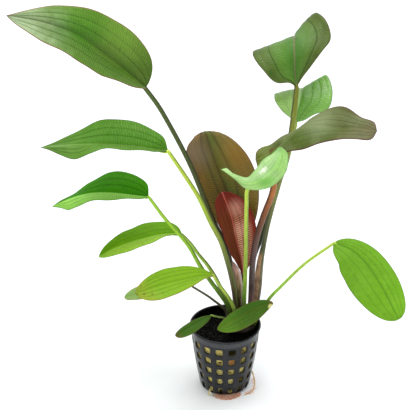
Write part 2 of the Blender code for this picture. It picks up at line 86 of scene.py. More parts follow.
class Finish:
    """A surface finish, put together step by step on one shader. Its tones are 0 to 255 for each part."""

    def __init__(self, name, roughness, tone=(0, 0, 0), shine=0.5):
        self.material = bpy.data.materials.new(name)
        self.material.use_nodes = True
        self.tree = self.material.node_tree
        self.shader = self.tree.nodes["Principled BSDF"]
        self.shader.inputs["Specular IOR Level"].default_value = shine
        self.roughness(roughness)
        self.tone = tone

    def join(self, value, socket):
        if isinstance(value, bpy.types.NodeSocket):
            self.tree.links.new(value, socket)
        elif isinstance(value, tuple) and socket.type == "RGBA":
            socket.default_value = shade(*value)
        else:
            socket.default_value = value

    def step(self, kind, inputs, **settings):
        made = self.tree.nodes.new("ShaderNode" + kind)
        for key, value in settings.items():
            setattr(made, key, value)
        for key, value in inputs.items():
            self.join(value, made.inputs[key])
        return made

    def sum(self, operation, one, other=0.0):
        return self.step("Math", {0: one, 1: other}, operation=operation).outputs[0]

    def plus(self, one, other):
        return self.sum("ADD", one, other)

    def minus(self, one, other):
        return self.sum("SUBTRACT", one, other)

    def times(self, one, other):
        return self.sum("MULTIPLY", one, other)

    def blend(self, share, one, other):
        made = self.step("Mix", {}, data_type="RGBA")
        for socket, value in zip((made.inputs[0], made.inputs[6], made.inputs[7]), (share, one, other)):
            self.join(value, socket)
        return made.outputs[2]

    def coat(self, share, tone):
        """Lays a tone over the tone so far, as strongly as the share says."""
        self.tone = self.blend(share, self.tone, tone)
        self.join(self.tone, self.shader.inputs["Base Color"])

    def tinged(self, value, saturation=1.0):
        """The tone so far, made brighter or darker, and stronger or weaker."""
        inputs = {"Color": self.tone, "Value": value, "Saturation": saturation}
        return self.step("HueSaturation", inputs).outputs[0]

    def ramp(self, value, tones):
        """The tone at this value, with soft changes between the values and tones of a list."""
        low, high = tones[0][0], tones[-1][0]
        share = self.step("MapRange", {"Value": value, "From Min": low, "From Max": high}).outputs["Result"]
        made = self.step("ValToRGB", {"Fac": share})
        bands = made.color_ramp.elements
        bands[1].position = 1.0
        for at, *_ in tones[1:-1]:
            bands.new((at - low) / (high - low))
        for band, (_, *tone) in zip(bands, tones):
            band.color = shade(*tone)
        return made.outputs["Color"]

    def rise(self, value, low, high, top=1.0, bottom=0.0):
        """The bottom value below low and the top value above high, with a soft slope between."""
        inputs = {"Value": value, "From Min": low, "From Max": high, "To Min": bottom, "To Max": top}
        return self.step("MapRange", inputs, interpolation_type="SMOOTHSTEP").outputs["Result"]

    def fall(self, value, low, high, top=1.0):
        return self.rise(value, low, high, 0.0, top)

    def here(self, stretch=(1.0, 1.0, 1.0)):
        """The place on the piece, in millimetres."""
        place = self.step("TexCoord", {}).outputs["Object"]
        scale = tuple(1000.0 * s for s in stretch)
        return self.step("Mapping", {"Vector": place, "Scale": scale}).outputs[0]

    def parts(self, vector):
        return self.step("SeparateXYZ", {"Vector": vector}).outputs

    def written(self, name):
        """A value that the mesh carries, and its three parts."""
        vector = self.step("Attribute", {}, attribute_name=name).outputs["Vector"]
        return vector, self.parts(vector)

    def clouds(self, size, detail=3.0, stretch=(1.0, 1.0, 1.0)):
        """Soft noise from 0 to 1 with features of about this size in millimetres."""
        inputs = {"Vector": self.here(stretch), "Scale": 1.0 / size, "Detail": detail, "Roughness": 0.5}
        return self.step("TexNoise", inputs).outputs["Fac"]

    def relief(self, height, depth):
        """Raises the surface by the height, given in shares of a depth in millimetres."""
        old = self.shader.inputs["Normal"]
        inputs = {"Height": height, "Distance": depth * MM, "Strength": 1.0}
        if old.is_linked:
            inputs["Normal"] = old.links[0].from_socket
        self.join(self.step("Bump", inputs).outputs["Normal"], old)

    def roughness(self, value):
        self.join(value, self.shader.inputs["Roughness"])


def settle(piece, finish, node):
    """Puts the finish on a piece that belongs to the potted plant and stands for this node."""
    piece.data.materials.append(finish.material)
    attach(piece, "root")
    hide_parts(node)


def in_scene(name, mesh):
    piece = bpy.data.objects.new(name, mesh)
    bpy.context.scene.collection.objects.link(piece)
    return piece


def wall_radius(z):
    """Outer radius of the pot's wall, which leans out less towards the rim and is round at the foot."""
    radius = FOOT_RADIUS + LEAN * z - LEAN_FADE * z * z
    if z < FOOT_CORNER:
        radius -= FOOT_CORNER - math.sqrt(FOOT_CORNER * FOOT_CORNER - (FOOT_CORNER - z) ** 2)
    return radius


def around(radius, angle, z):
    angle = math.radians(angle)
    return (radius * math.cos(angle), radius * math.sin(angle), z)


def on_wall(angle, z, depth):
    return around(wall_radius(z) - depth * WALL, angle, z)


def on_bottom(angle, radius, depth):
    return around(radius, angle, depth * BOTTOM_THICK)


def square_outline(steps):
    side = [-1 + 2 * i / steps for i in range(steps)]
    half = [(s, -1) for s in side] + [(1, s) for s in side]
    return half + [(-p, -q) for p, q in half]


def window(form, place, middle, cell, hole, degrees_per_mm):
    """A panel with a soft-cornered hole through it: rings of points from its front edge to its back edge."""
    rings = []
    for grown, depth in HOLE_RINGS:
        points = []
        for p, q in square_outline(STEPS_PER_HOLE):
            if grown is None:
                a, b = middle[0] + p * cell[0], middle[1] + q * cell[1]
            else:
                soft = (abs(p) ** 6 + abs(q) ** 6) ** (-1 / 6)
                a = middle[0] + p * soft * (hole[0] + grown * degrees_per_mm)
                b = middle[1] + q * soft * (hole[1] + grown)
            points.append(form.verts.new(place(a, b, depth)))
        rings.append(points)
    close_rings(form, rings)


def close_rings(form, rings):
    for one, other in zip(rings, rings[1:]):
        for i in range(len(one)):
            k = (i + 1) % len(one)
            form.faces.new((one[i], one[k], other[k], other[i]))


def hoops(form, profile):
    """Rings of points round the pot's axis through these (radius, height) pairs, joined by faces."""
    count = HOLE_COLUMNS * STEPS_PER_HOLE
    turns = [-90 + 360 * i / count for i in range(count)]
    rings = [[form.verts.new(around(radius, turn, z)) for turn in turns] for radius, z in profile]
    close_rings(form, rings)
    return rings


form = bmesh.new()
pitch = 360 / HOLE_COLUMNS
cell = (pitch / 2, ROW_PITCH / 2)
slot_cell = (pitch / 2, SLOT_CELL)
slot_hole = (HOLE_ANGLES[0] / 2, SLOT_HALF)
for column in range(HOLE_COLUMNS):
    middle = -90 + pitch / 2 + column * pitch
    for row in range(HOLE_ROWS):
        z = TOP_ROW_Z - row * ROW_PITCH
        width = HOLE_ANGLES[0] + (HOLE_ANGLES[1] - HOLE_ANGLES[0]) * z / POT_HEIGHT
        window(form, on_wall, (middle, z), cell, (width / 2, HOLE_HEIGHT / 2), WALL_DEGREES_PER_MM)
    window(form, on_bottom, (middle, SLOT_MIDDLE), slot_cell, slot_hole, BOTTOM_DEGREES_PER_MM)
low = TOP_ROW_Z - (HOLE_ROWS - 0.5) * ROW_PITCH
high = TOP_ROW_Z + 0.5 * ROW_PITCH
slots_end = SLOT_MIDDLE + SLOT_CELL
hoops(form, [(wall_radius(z), z) for z in (low, 0.55, 0.25, 0.08, 0.0)] + [(slots_end, 0.0)])
hoops(form, [(wall_radius(low) - WALL, low), (slots_end, BOTTOM_THICK)])
outside = [(wall_radius(z), z) for z in (high, 48.6, 50.2, 50.9)]
inside = [(wall_radius(z) - WALL, z) for z in (51.0, 49.0, high)]
hoops(form, outside + LIP + inside)
for z in (0.0, BOTTOM_THICK):
    rings = hoops(form, [(SLOT_MIDDLE - SLOT_CELL, z), (3.0, z), (1.0, z)])
    form.faces.new(rings[-1])
bmesh.ops.remove_doubles(form, verts=form.verts, dist=0.004)
bmesh.ops.recalc_face_normals(form, faces=form.faces)
bmesh.ops.transform(form, matrix=Matrix.Scale(MM, 4), verts=form.verts)
mesh = bpy.data.meshes.new("net_pot")
form.to_mesh(mesh)
form.free()
mesh.shade_smooth()
mesh.set_sharp_from_angle(angle=math.radians(SHARP_ANGLE))
pot = in_scene("net_pot", mesh)

plastic = Finish("charcoal_plastic", 0.42, (17, 18, 21), 0.28)
grime = plastic.clouds(7.0, 5.0, (1.0, 1.0, 0.45))
flecks = plastic.clouds(0.9, 2.0)
plastic.coat(plastic.rise(grime, 0.35, 0.7), (33, 34, 38))
plastic.coat(plastic.rise(flecks, 0.66, 0.74, 0.3), (112, 112, 110))
side, depth, height = plastic.parts(plastic.here())
band = plastic.times(plastic.rise(height, 46.6, 47.6), plastic.fall(height, 50.6, 51.4))
plastic.coat(plastic.times(band, 0.6), (74, 74, 78))
# Painted shade: the inside of the wall, above the foot, is painted near black for the shade inside the pot.
reach = plastic.sum("SQRT", plastic.plus(plastic.times(side, side), plastic.times(depth, depth)))
lean = plastic.times(height, plastic.minus(LEAN, plastic.times(height, LEAN_FADE)))
within = plastic.minus(plastic.plus(lean, FOOT_RADIUS), reach)
plastic.coat(plastic.times(plastic.rise(within, 0.6, 0.9), plastic.rise(height, 3.0, 5.0)), (3, 3, 4))
plastic.roughness(plastic.rise(grime, 0.2, 0.9, 0.62))
plastic.relief(plastic.clouds(1.6, 4.0), 0.05)
plastic.relief(plastic.clouds(6.0, 2.0), 0.12)
settle(pot, plastic, "pot")


# The rockwool plug: yellow-khaki mineral wool, spun and pressed into a block that is pushed into the pot.
# It fills the pot to its wall and shows through the holes, torn back in places; its deep gaps are painted
# dark as shade.
PLUG_BOTTOM = 1.6
PLUG_TOP = 45.4
PLUG_RADIUS = 21
CLEARANCE = 0.4
TURNS = 216
LEVELS = 92
# The torn places: angle and height of the middle, depth and size in millimetres.
TORN = [
    (-79, 42.5, 5.5, 6.0), (-58, 41, 2.2, 3.5), (-60, 33, 2.6, 5.0), (-122, 35, 1.5, 3.0),
    (-101, 31.5, 2.2, 1.7), (-80, 22.5, 1.4, 2.4), (-150, 24, 2.5, 3.5), (-52, 14.5, 3.0, 4.0),
    (-101, 3.2, 3.5, 2.6), (-78, 5, 3.0, 3.4), (-56, 5.5, 4.5, 5.0), (-30, 15, 3.5, 4.0),
    (-148, 44, 1.6, 2.5), (20, 30, 4.0, 5.0), (75, 15, 3.5, 4.5), (130, 36, 4.0, 5.0),
    (175, 10, 3.5, 4.0), (100, 42, 3.0, 4.0),
]
RUST = (-79, 33)
RUST_SIZE = 3.6


def gap_between(angle, z, other_angle, other_z):
    """Distance in millimetres between two places on the plug's side."""
    turn = (angle - other_angle + 180) % 360 - 180
    return math.hypot(math.radians(turn) * PLUG_RADIUS, z - other_z)


def piece_from(name, points, faces, values=None):
    """A smooth mesh from points in millimetres. Values are vectors for its finish, one for each point."""
    mesh = bpy.data.meshes.new(name)
    mesh.from_pydata([tuple(c * MM for c in p) for p in points], [], faces)
    for key, vectors in (values or {}).items():
        written = mesh.attributes.new(key, "FLOAT_VECTOR", "POINT")
        written.data.foreach_set("vector", [c for v in vectors for c in v])
    mesh.shade_smooth()
    return in_scene(name, mesh)


def tube(rows, count, start=0):
    """Faces that join rows of points round an axis, from the point at start on, and close both ends."""
    faces = []
    for one in range(start, start + (rows - 1) * count, count):
        for i in range(count):
            k = (i + 1) % count
            faces.append((one + i, one + k, one + count + k, one + count + i))
    end = start + (rows - 1) * count
    return faces + [tuple(reversed(range(start, start + count))), tuple(range(end, end + count))]


points, looks = [], []
for j in range(LEVELS + 1):
    z = PLUG_BOTTOM + (PLUG_TOP - PLUG_BOTTOM) * j / LEVELS
    reach = wall_radius(z) - WALL - CLEARANCE
    for i in range(TURNS):
        angle = 360 * i / TURNS
        spot = Vector(around(reach, angle, z))
        ragged = noise.fractal(spot * 0.33, 0.8, 2.1, 4)
        fluff = noise.fractal(spot * 1.3 + Vector((9, 4, 2)), 0.9, 2.2, 3)
        back = max(0.0, 0.3 + 0.8 * ragged) + 0.2 * (fluff + 0.6)
        for other, height, depth, size in TORN:
            near = gap_between(angle, z, other, height) / size
            if near < 1.6:
                back += depth * math.exp(-near * near * 2.2)
        rust = math.exp(-(gap_between(angle, z, *RUST) / RUST_SIZE) ** 2)
        points.append(around(reach - max(0.05, back), angle, z))
        looks.append((back, rust, fluff))
plug = piece_from("rockwool", points, tube(LEVELS + 1, TURNS), {"wool": looks})

wool = Finish("rockwool_fibre", 0.95, (134, 116, 38))
torn, rust, _ = wool.written("wool")[1]
strands = wool.clouds(0.8, 4.0, (1.0, 1.0, 3.2))
lumps = wool.clouds(3.4)
wool.coat(wool.rise(strands, 0.3, 0.72), (250, 238, 156))
wool.coat(wool.rise(lumps, 0.35, 0.7, 0.55), (192, 168, 72))
wool.coat(wool.times(rust, 0.9), (165, 92, 48))
# Painted shade: the further the wool lies back from its face, the darker it is painted.
wool.coat(wool.rise(torn, 0.9, 2.6, 0.93), (30, 26, 10))
wool.relief(strands, 0.5)
wool.relief(wool.clouds(0.35, 2.0), 0.15)
settle(plug, wool, "rockwool_plug")


# The dark substrate: a layer of black, moist aquarium soil on the plug, in loose rounded grains of one to
# two millimetres that are scattered up to the wall. Its near-black tone is partly its own and partly painted
# shade in the pot's mouth.
SOIL_RADIUS = 24.2
SOIL_Z = 46.4
SOIL_RINGS = 25
SOIL_TURNS = 96
GRAINS = 1500
GRAIN_REACH = 24.0
GRAIN_SIZES = (0.35, 0.75)


def sag(radius):
    """How far the soil lies lower towards the wall, in millimetres."""
    return 0.9 * max(0.0, (radius - 19) / 5.2) ** 2


points, faces = [], []
for j in range(SOIL_RINGS + 1):
    for i in range(SOIL_TURNS):
        radius = SOIL_RADIUS * j / SOIL_RINGS
        place = Vector(around(radius, 360 / SOIL_TURNS * i, 0))
        points.append((place.x, place.y, SOIL_Z + 0.35 * noise.noise(place * 0.5) - sag(radius)))
for j in range(SOIL_RINGS):
    for i in range(SOIL_TURNS):
        k = (i + 1) % SOIL_TURNS
        one, two = j * SOIL_TURNS, (j + 1) * SOIL_TURNS
        faces.append((one + i, two + i, two + k, one + k))

seed_grain = bmesh.new()
bmesh.ops.create_icosphere(seed_grain, subdivisions=1, radius=1.0)
ball = [v.co.copy() for v in seed_grain.verts]
ball_faces = [[v.index for v in f.verts] for f in seed_grain.faces]
seed_grain.free()
random.seed(11)
for grain in range(GRAINS):
    radius = GRAIN_REACH * math.sqrt(random.random())
    angle = random.uniform(0, 360)
    size = random.uniform(*GRAIN_SIZES)
    z = 46.5 - sag(radius) + random.uniform(-0.1, 0.35)
    centre = Vector(around(min(radius, GRAIN_REACH - size), angle, z))
    spin = random.uniform(0, 6.28)
    turn = Matrix.Rotation(spin, 3, Vector((random.random(), random.random(), 0.3)).normalized())
    start = len(points)
    for co in ball:
        bent = turn @ Vector((co.x, co.y * 0.8, co.z * 0.65))
        points.append(centre + bent * size * random.uniform(0.85, 1.15))
    faces += [tuple(start + n for n in f) for f in ball_faces]
soil = piece_from("substrate_grains", points, faces)

# Partly painted shade: the soil's own dark tone is pushed to near black for the shade in the pot's mouth.
dark = Finish("black_soil_and_painted_shade", 0.7, (3, 3, 2), 0.06)
dark.coat(dark.rise(dark.clouds(1.3, 2.0), 0.4, 0.7), (14, 12, 10))
dark.roughness(dark.rise(dark.clouds(2.5), 0.2, 0.9, 0.85))
dark.relief(dark.clouds(0.4), 0.12)
settle(soil, dark, "dark_substrate")


# The crown: the short rootstock that every leaf grows from, a low brown cushion of old leaf bases and
# fibres, sitting in the soil a little right of the pot's middle. Its very dark brown is partly painted shade.
CROWN_CENTRE = (11.0, 4.5)
CROWN_RADII = (11.8, 11.0)
CROWN_SIDES = 72
CROWN_PROFILE = [
    (0.8, 46.6), (0.93, 47.4), (1.0, 48.6), (0.99, 49.6), (0.93, 50.3), (0.8, 50.5), (0.55, 50.55),
    (0.3, 50.55), (0.1, 50.55),
]
points = []
for share, z in CROWN_PROFILE:
    for i in range(CROWN_SIDES):
        angle = math.tau * i / CROWN_SIDES
        lumpy = 1 - 0.07 * (0.5 + 0.5 * math.sin(9 * angle + 3 * share)) * share
        x = CROWN_CENTRE[0] + CROWN_RADII[0] * share * lumpy * math.cos(angle)
        y = CROWN_CENTRE[1] + CROWN_RADII[1] * share * lumpy * math.sin(angle)
        points.append((x, y, z - 0.3 * abs(noise.noise(Vector((x, y, z)) * 0.6))))
rootstock = piece_from("rootstock", points, tube(len(CROWN_PROFILE), CROWN_SIDES))

# Partly painted shade: the brown is made very dark for the shade that the crown sits in.
bark = Finish("brown_rootstock", 0.75, (24, 19, 12))
fibres = bark.clouds(0.9, 4.0, (1.0, 1.0, 0.3))
bark.coat(bark.rise(fibres, 0.3, 0.7), (58, 46, 28))
bark.relief(fibres, 0.5)
settle(rootstock, bark, "crown")


# The roots that have come out of the pot: a thin tan root that loops out at the right, a pale knotted
# strand at the left, and a mat of fine pink feeding roots pressed round the front of the bottom edge.
LOOP = [
    (20, -8, 15.5), (21.3, -9, 11), (22, -10.5, 6), (21, -12, 2.5), (18.5, -13.8, 0.8), (14.5, -16.5, 0.6),
]
LOOP_STEPS = 70
# The steps along the loop at which a short side root springs from it.
HAIRS = (12, 14, 18, 20, 22, 25, 27, 29, 31, 33, 35, 37, 39, 41, 43, 44, 46, 49, 52, 55, 58, 61, 63)
STRAND = [(-10.7, -16.1, 5.5), (-11.6, -17.5, 4), (-11.4, -17.6, 1.8), (-12.6, -17, 0.8)]
KNOT = [(-11.6, -17.5, 4.2), (-10.4, -17.9, 3.3), (-10.7, -17.8, 2.4), (-11.6, -17.9, 2.0)]
HAIR_STEPS = 8
STRAND_STEPS = 30
KNOT_STEPS = 16
THREADS = 420
THREAD_STEPS = 9
MAT_ANGLES = (-118.5, -52.5)
MAT_RADIUS = 17.4
MAT_WIDE = 5


def smooth_path(points, shares):
    """Points at these shares of the length of a smooth curve through the given points."""
    points = [Vector(p) for p in points]
    knots = [0.0]
    for a, b in zip(points, points[1:]):
        knots.append(knots[-1] + (b - a).length)
    steps = [(b - a) / (there - here) for a, b, here, there in zip(points, points[1:], knots, knots[1:])]
    slopes = [steps[0]]
    for i in range(1, len(points) - 1):
        share = (knots[i] - knots[i - 1]) / (knots[i + 1] - knots[i - 1])
        slopes.append(steps[i - 1].lerp(steps[i], share))
    slopes.append(steps[-1])
    path = []
    i = 0
    for share in shares:
        at = knots[-1] * share
        while i < len(points) - 2 and at > knots[i + 1]:
            i += 1
        span = knots[i + 1] - knots[i]
        t = (at - knots[i]) / span
        path.append(
            points[i] * (1 + 2 * t) * (1 - t) ** 2
            + slopes[i] * span * t * (1 - t) ** 2
            + points[i + 1] * t * t * (3 - 2 * t)
            + slopes[i + 1] * span * t * t * (t - 1)
        )
    return path


def evenly(count):
    return [i / count for i in range(count + 1)]


def round_strand(points, faces, looks, path, radii, sides, tint=None):
    """Adds a round strand along a path. Its looks: a tint or how far it faces right, share and distance."""
    side = (path[1] - path[0]).orthogonal().normalized()
    start = len(points)
    run = 0.0
    last = len(path) - 1
    for i, place in enumerate(path):
        ahead = (path[min(i + 1, last)] - path[max(i - 1, 0)]).normalized()
        side = (side - ahead * side.dot(ahead)).normalized()
        other = ahead.cross(side)
        if i:
            run += (place - path[i - 1]).length
        for k in range(sides):
            turn = math.tau * k / sides
            out = side * math.cos(turn) + other * math.sin(turn)
            points.append(place + out * radii[i])
            looks.append((0.5 + 0.5 * out.x if tint is None else tint, i / last, run))
    faces += tube(len(path), sides, start)


def root_finish(name, pale, deep, size, tinted):
    finish = Finish(name, 0.5, deep, 0.3)
    finish.coat(finish.rise(finish.clouds(size, 4.0), 0.3, 0.7), pale)
    finish.coat(finish.written("share")[1][0], tinted)
    finish.relief(finish.clouds(0.35, 2.0), 0.08)
    return finish


points, faces, looks = [], [], []
path = smooth_path(LOOP, evenly(LOOP_STEPS))
radii = [0.48 + 0.06 * noise.noise(p * 0.9) - 0.12 * i / LOOP_STEPS for i, p in enumerate(path)]
round_strand(points, faces, looks, path, radii, 10, 0.0)
random.seed(5)
for at in HAIRS:
    start = path[at]
    out = Vector((random.uniform(-1, 0.3), random.uniform(-0.6, 0.8), random.uniform(-0.8, 0.3)))
    end = start + out.normalized() * random.uniform(1.5, 3.4)
    end.z = max(end.z, 0.3)
    bowed = start.lerp(end, 0.5) + Vector((0, 0.3, 0.3))
    hair = smooth_path([start, bowed, end], evenly(HAIR_STEPS))
    radii = [0.19 - 0.015 * i for i in range(HAIR_STEPS + 1)]
    round_strand(points, faces, looks, hair, radii, 5, random.choice((0.8, 1.0)))
loop = piece_from("looping_root", points, faces, {"share": looks})
tan = root_finish("tan_root", (216, 188, 126), (172, 138, 82), 1.6, (255, 128, 96))
settle(loop, tan, "root_loop")

points, faces, looks = [], [], []
radii = [0.45 + 0.3 * abs(math.sin(i * 0.52)) for i in range(STRAND_STEPS + 1)]
round_strand(points, faces, looks, smooth_path(STRAND, evenly(STRAND_STEPS)), radii, 10, 0.0)
radii = [0.32] * (KNOT_STEPS + 1)
round_strand(points, faces, looks, smooth_path(KNOT, evenly(KNOT_STEPS)), radii, 8, 1.0)
strand = piece_from("knotted_root", points, faces, {"share": looks})
cream = root_finish("cream_root", (225, 215, 170), (165, 150, 95), 1.4, (236, 226, 190))
settle(strand, cream, "root_strand")

points, faces, looks = [], [], []
random.seed(21)
for thread in range(THREADS):
    share = random.betavariate(1.5, 1.3)
    fat = math.sin(math.pi * (0.08 + 0.84 * share)) ** 0.6
    sweep = random.uniform(2, 9) * random.choice((-1, 1))
    radius = MAT_RADIUS + MAT_WIDE * fat * random.random()
    low = max(0.15, 1 - (radius - MAT_RADIUS) / (MAT_WIDE * fat + 0.6))
    top = 0.25 + (0.3 + 2.2 * fat) * random.random() * low
    track = []
    for n in range(4):
        angle = min(MAT_ANGLES[1], max(MAT_ANGLES[0], -119 + 67 * share + sweep * (n / 3 - 0.5)))
        r = min(17.35 + 5.1 * fat, radius + random.uniform(-0.9, 0.9))
        track.append(around(r, angle, max(0.15, top + random.uniform(-0.35, 0.35))))
    thick = random.uniform(0.06, 0.13)
    radii = [thick * (1 - 0.5 * abs(n / 4.5 - 1)) for n in range(THREAD_STEPS + 1)]
    tint = random.random() ** 2 if share > 0.15 else 1.0
    round_strand(points, faces, looks, smooth_path(track, evenly(THREAD_STEPS)), radii, 4, tint)
mat = piece_from("feeding_roots", points, faces, {"share": looks})
pink = root_finish("pink_roots", (255, 212, 188), (214, 100, 72), 0.7, (212, 190, 156))
settle(mat, pink, "root_mat")


# The top left leaf: the largest and highest on that side, a mid-green blade with a fine red-brown margin,
# lengthwise veins and a fine ladder of cross veins. It grows from the crown on a long olive-brown stalk whose
# right side is painted dark as shade.
BLADE_THICK = 0.5
BLADE_ROWS = 88
STALK_STEPS = 72
STALK_SIDES = 16
# Shares of the way from the midrib to the margin, for the lengthwise veins and for the mesh.
VEINS = (0.34, 0.62, 0.84)
COLUMNS = (
    0.04, 0.1, 0.18, 0.26, 0.31, 0.34, 0.37, 0.45, 0.53, 0.59, 0.62, 0.65, 0.73, 0.81, 0.84, 0.87, 0.93,
    0.97, 1.0,
)


def direction(azimuth, elevation):
    return Vector(around(math.cos(math.radians(elevation)), azimuth, math.sin(math.radians(elevation))))


def value_at(values, share):
    """The value at this share of a length, from values at even steps along it."""
    place = share * (len(values) - 1)
    step = min(int(place), len(values) - 2)
    between = place - step
    return values[step] * (1 - between) + values[step + 1] * between


def margin(half, middle, forward, facing, side, u):
    """The margin of a half that is given by its width, the form of its ends and its fold in degrees."""
    low, high = half["ends"]
    widest = low / (low + high)
    width = half["width"] * (u / widest) ** low * ((1 - u) / (1 - widest)) ** high
    turn = math.radians(value_at(half["fold"], u))
    outward = forward.cross(facing) * side
    return middle + (outward * math.cos(turn) + facing * math.sin(turn)) * width


def quilt(share):
    """How far the tissue stands up between the lengthwise veins, 0 on a vein and 1 between two."""
    stops = (0.0, *VEINS, 1.0)
    low, high = next(pair for pair in zip(stops, stops[1:]) if share <= pair[1])
    return math.sin(math.pi * (share - low) / (high - low)) ** 2


def sheet_of(leaf):
    """Rows of points over the blade from its left to its right margin, with the way that each row faces."""
    shares = [(1 - math.cos(math.pi * i / BLADE_ROWS)) / 2 for i in range(BLADE_ROWS + 1)]
    midrib = smooth_path(leaf["midrib"], shares)
    edges = {}
    for key in ("left_edge", "right_edge"):
        if key in leaf:
            edges[key] = smooth_path([midrib[0]] + leaf[key] + [midrib[-1]], shares)
    rows, facings = [], []
    for i in range(1, BLADE_ROWS):
        u = shares[i]
        middle = midrib[i]
        forward = (midrib[i + 1] - midrib[i - 1]).normalized()
        facing = direction(*leaf["face"][0]).lerp(direction(*leaf["face"][1]), u)
        facing = (facing - forward * facing.dot(forward)).normalized()
        halves = []
        for key, side in (("left", -1), ("right", 1)):
            if key + "_edge" in edges:
                edge = edges[key + "_edge"][i]
            else:
                edge = margin(leaf[key], middle, forward, facing, side, u)
            lift = (edge - middle).cross(forward) * side * (leaf.get(key + "_bulge", 0) + 0.04)
            halves.append([middle.lerp(edge, s) + lift * 4 * s * (1 - s) for s in COLUMNS])
        rows.append(halves[0][::-1] + [middle] + halves[1])
        facings.append(facing)
    return shares, midrib, rows, facings


def runs(points):
    """The distance along these points, for each of them."""
    found = [0.0]
    for a, b in zip(points, points[1:]):
        found.append(found[-1] + (b - a).length)
    return found


def add_blade(name, leaf, finish):
    """The blade: an upper and a lower skin that meet at the margin. The rib stands out under it."""
    shares, midrib, rows, facings = sheet_of(leaf)
    across = [-s for s in reversed(COLUMNS)] + [0.0] + list(COLUMNS)
    last = len(across) - 1
    middle = len(COLUMNS)
    wave, length = leaf["wave"]
    puff = leaf.get("quilt", 0.25)
    ridge = leaf["stem_radius"][-1]
    run = runs(midrib)
    points = [midrib[0], midrib[-1]]
    share_values = [(0.0, 0.0, 0.5), (0.0, 1.0, 0.5)]
    place_values = [(0.0, 0.0, 0.0), (0.0, run[-1], 0.0)]
    upper, lower = [], []
    for i, row in enumerate(rows):
        u, at = shares[i + 1], run[i + 1]
        reach = runs(row[middle::-1])[:0:-1] + runs(row[middle:])
        up, down = [], []
        before, after = rows[max(i - 1, 0)], rows[min(i + 1, len(rows) - 1)]
        for j, place in enumerate(row):
            s = abs(across[j])
            width = reach[0] if across[j] < 0 else reach[last]
            sideways = row[min(j + 1, last)] - row[max(j - 1, 0)]
            normal = sideways.cross(after[j] - before[j])
            normal = normal.normalized() if normal.length > 1e-9 else facings[i]
            if normal.dot(facings[i]) < 0:
                normal = -normal
            phase = 1.7 if across[j] < 0 else 0.0
            ripple = wave * max(0.0, (s - 0.45) / 0.55) ** 2 * math.sin(math.tau * at / length + phase)
            place = place + normal * min(1.0, width / 12) * (puff * quilt(s) + ripple)
            if j in (0, last):
                skins = ((up, 0.0, 0.5),)
            else:
                thick = (0.35 + 0.65 * (1 - s) ** 0.7) * BLADE_THICK * min(1.0, 0.35 + width / 4)
                rib = ridge * (1 - u) ** 0.8 * math.exp(-((reach[j] / (0.5 + 0.9 * ridge * (1 - u))) ** 2))
                groove = 0.3 * min(1.0, width / 6) * math.exp(-((reach[j] / 0.8) ** 2))
                skins = ((up, thick / 2 - groove, 0.0), (down, -thick / 2 - rib * 0.9, 1.0))
            for skin, offset, under in skins:
                skin.append(len(points))
                points.append(place + normal * offset)
                share_values.append((across[j], u, under))
                place_values.append((math.copysign(reach[j], across[j]), at, width - reach[j]))
        upper.append(up)
        lower.append([up[0]] + down + [up[-1]])
    faces = []
    for skin, step in ((upper, 1), (lower, -1)):
        found = []
        for one, other in zip(skin, skin[1:]):
            found += [(one[k], one[k + 1], other[k + 1], other[k]) for k in range(last)]
        for k in range(last):
            found += [(0, skin[0][k + 1], skin[0][k]), (1, skin[-1][k], skin[-1][k + 1])]
        faces += [f[::step] for f in found]
    a, b, c = (Vector(points[n]) for n in faces[0][:3])
    if (b - a).cross(c - b).dot(facings[0]) < 0:
        faces = [f[::-1] for f in faces]
    piece = piece_from("blade_" + name, points, faces, {"share": share_values, "place": place_values})
    settle(piece, finish, "leaf_" + name)


def add_stalk(name, leaf, finish):
    """The round stalk from the crown up to the blade, under which it runs on for a few millimetres."""
    given = [Vector(p) for p in leaf["stem"]]
    given[0].z -= 0.6
    path = smooth_path(given, evenly(STALK_STEPS))
    radii = [value_at(leaf["stem_radius"], share) for share in evenly(STALK_STEPS)]
    if leaf.get("meets_blade", True):
        thin = radii[-1]
        midrib = smooth_path(leaf["midrib"], evenly(40))
        under = -direction(*leaf["face"][0])
        for i in range(1, 7):
            path.append(midrib[i] + under * (0.25 + thin * 0.55))
            radii.append(thin * (0.95 - 0.13 * i))
    points, faces, looks = [], [], []
    round_strand(points, faces, looks, path, radii, STALK_SIDES)
    settle(piece_from("stalk_" + name, points, faces, {"share": looks}), finish, "stem_" + name)


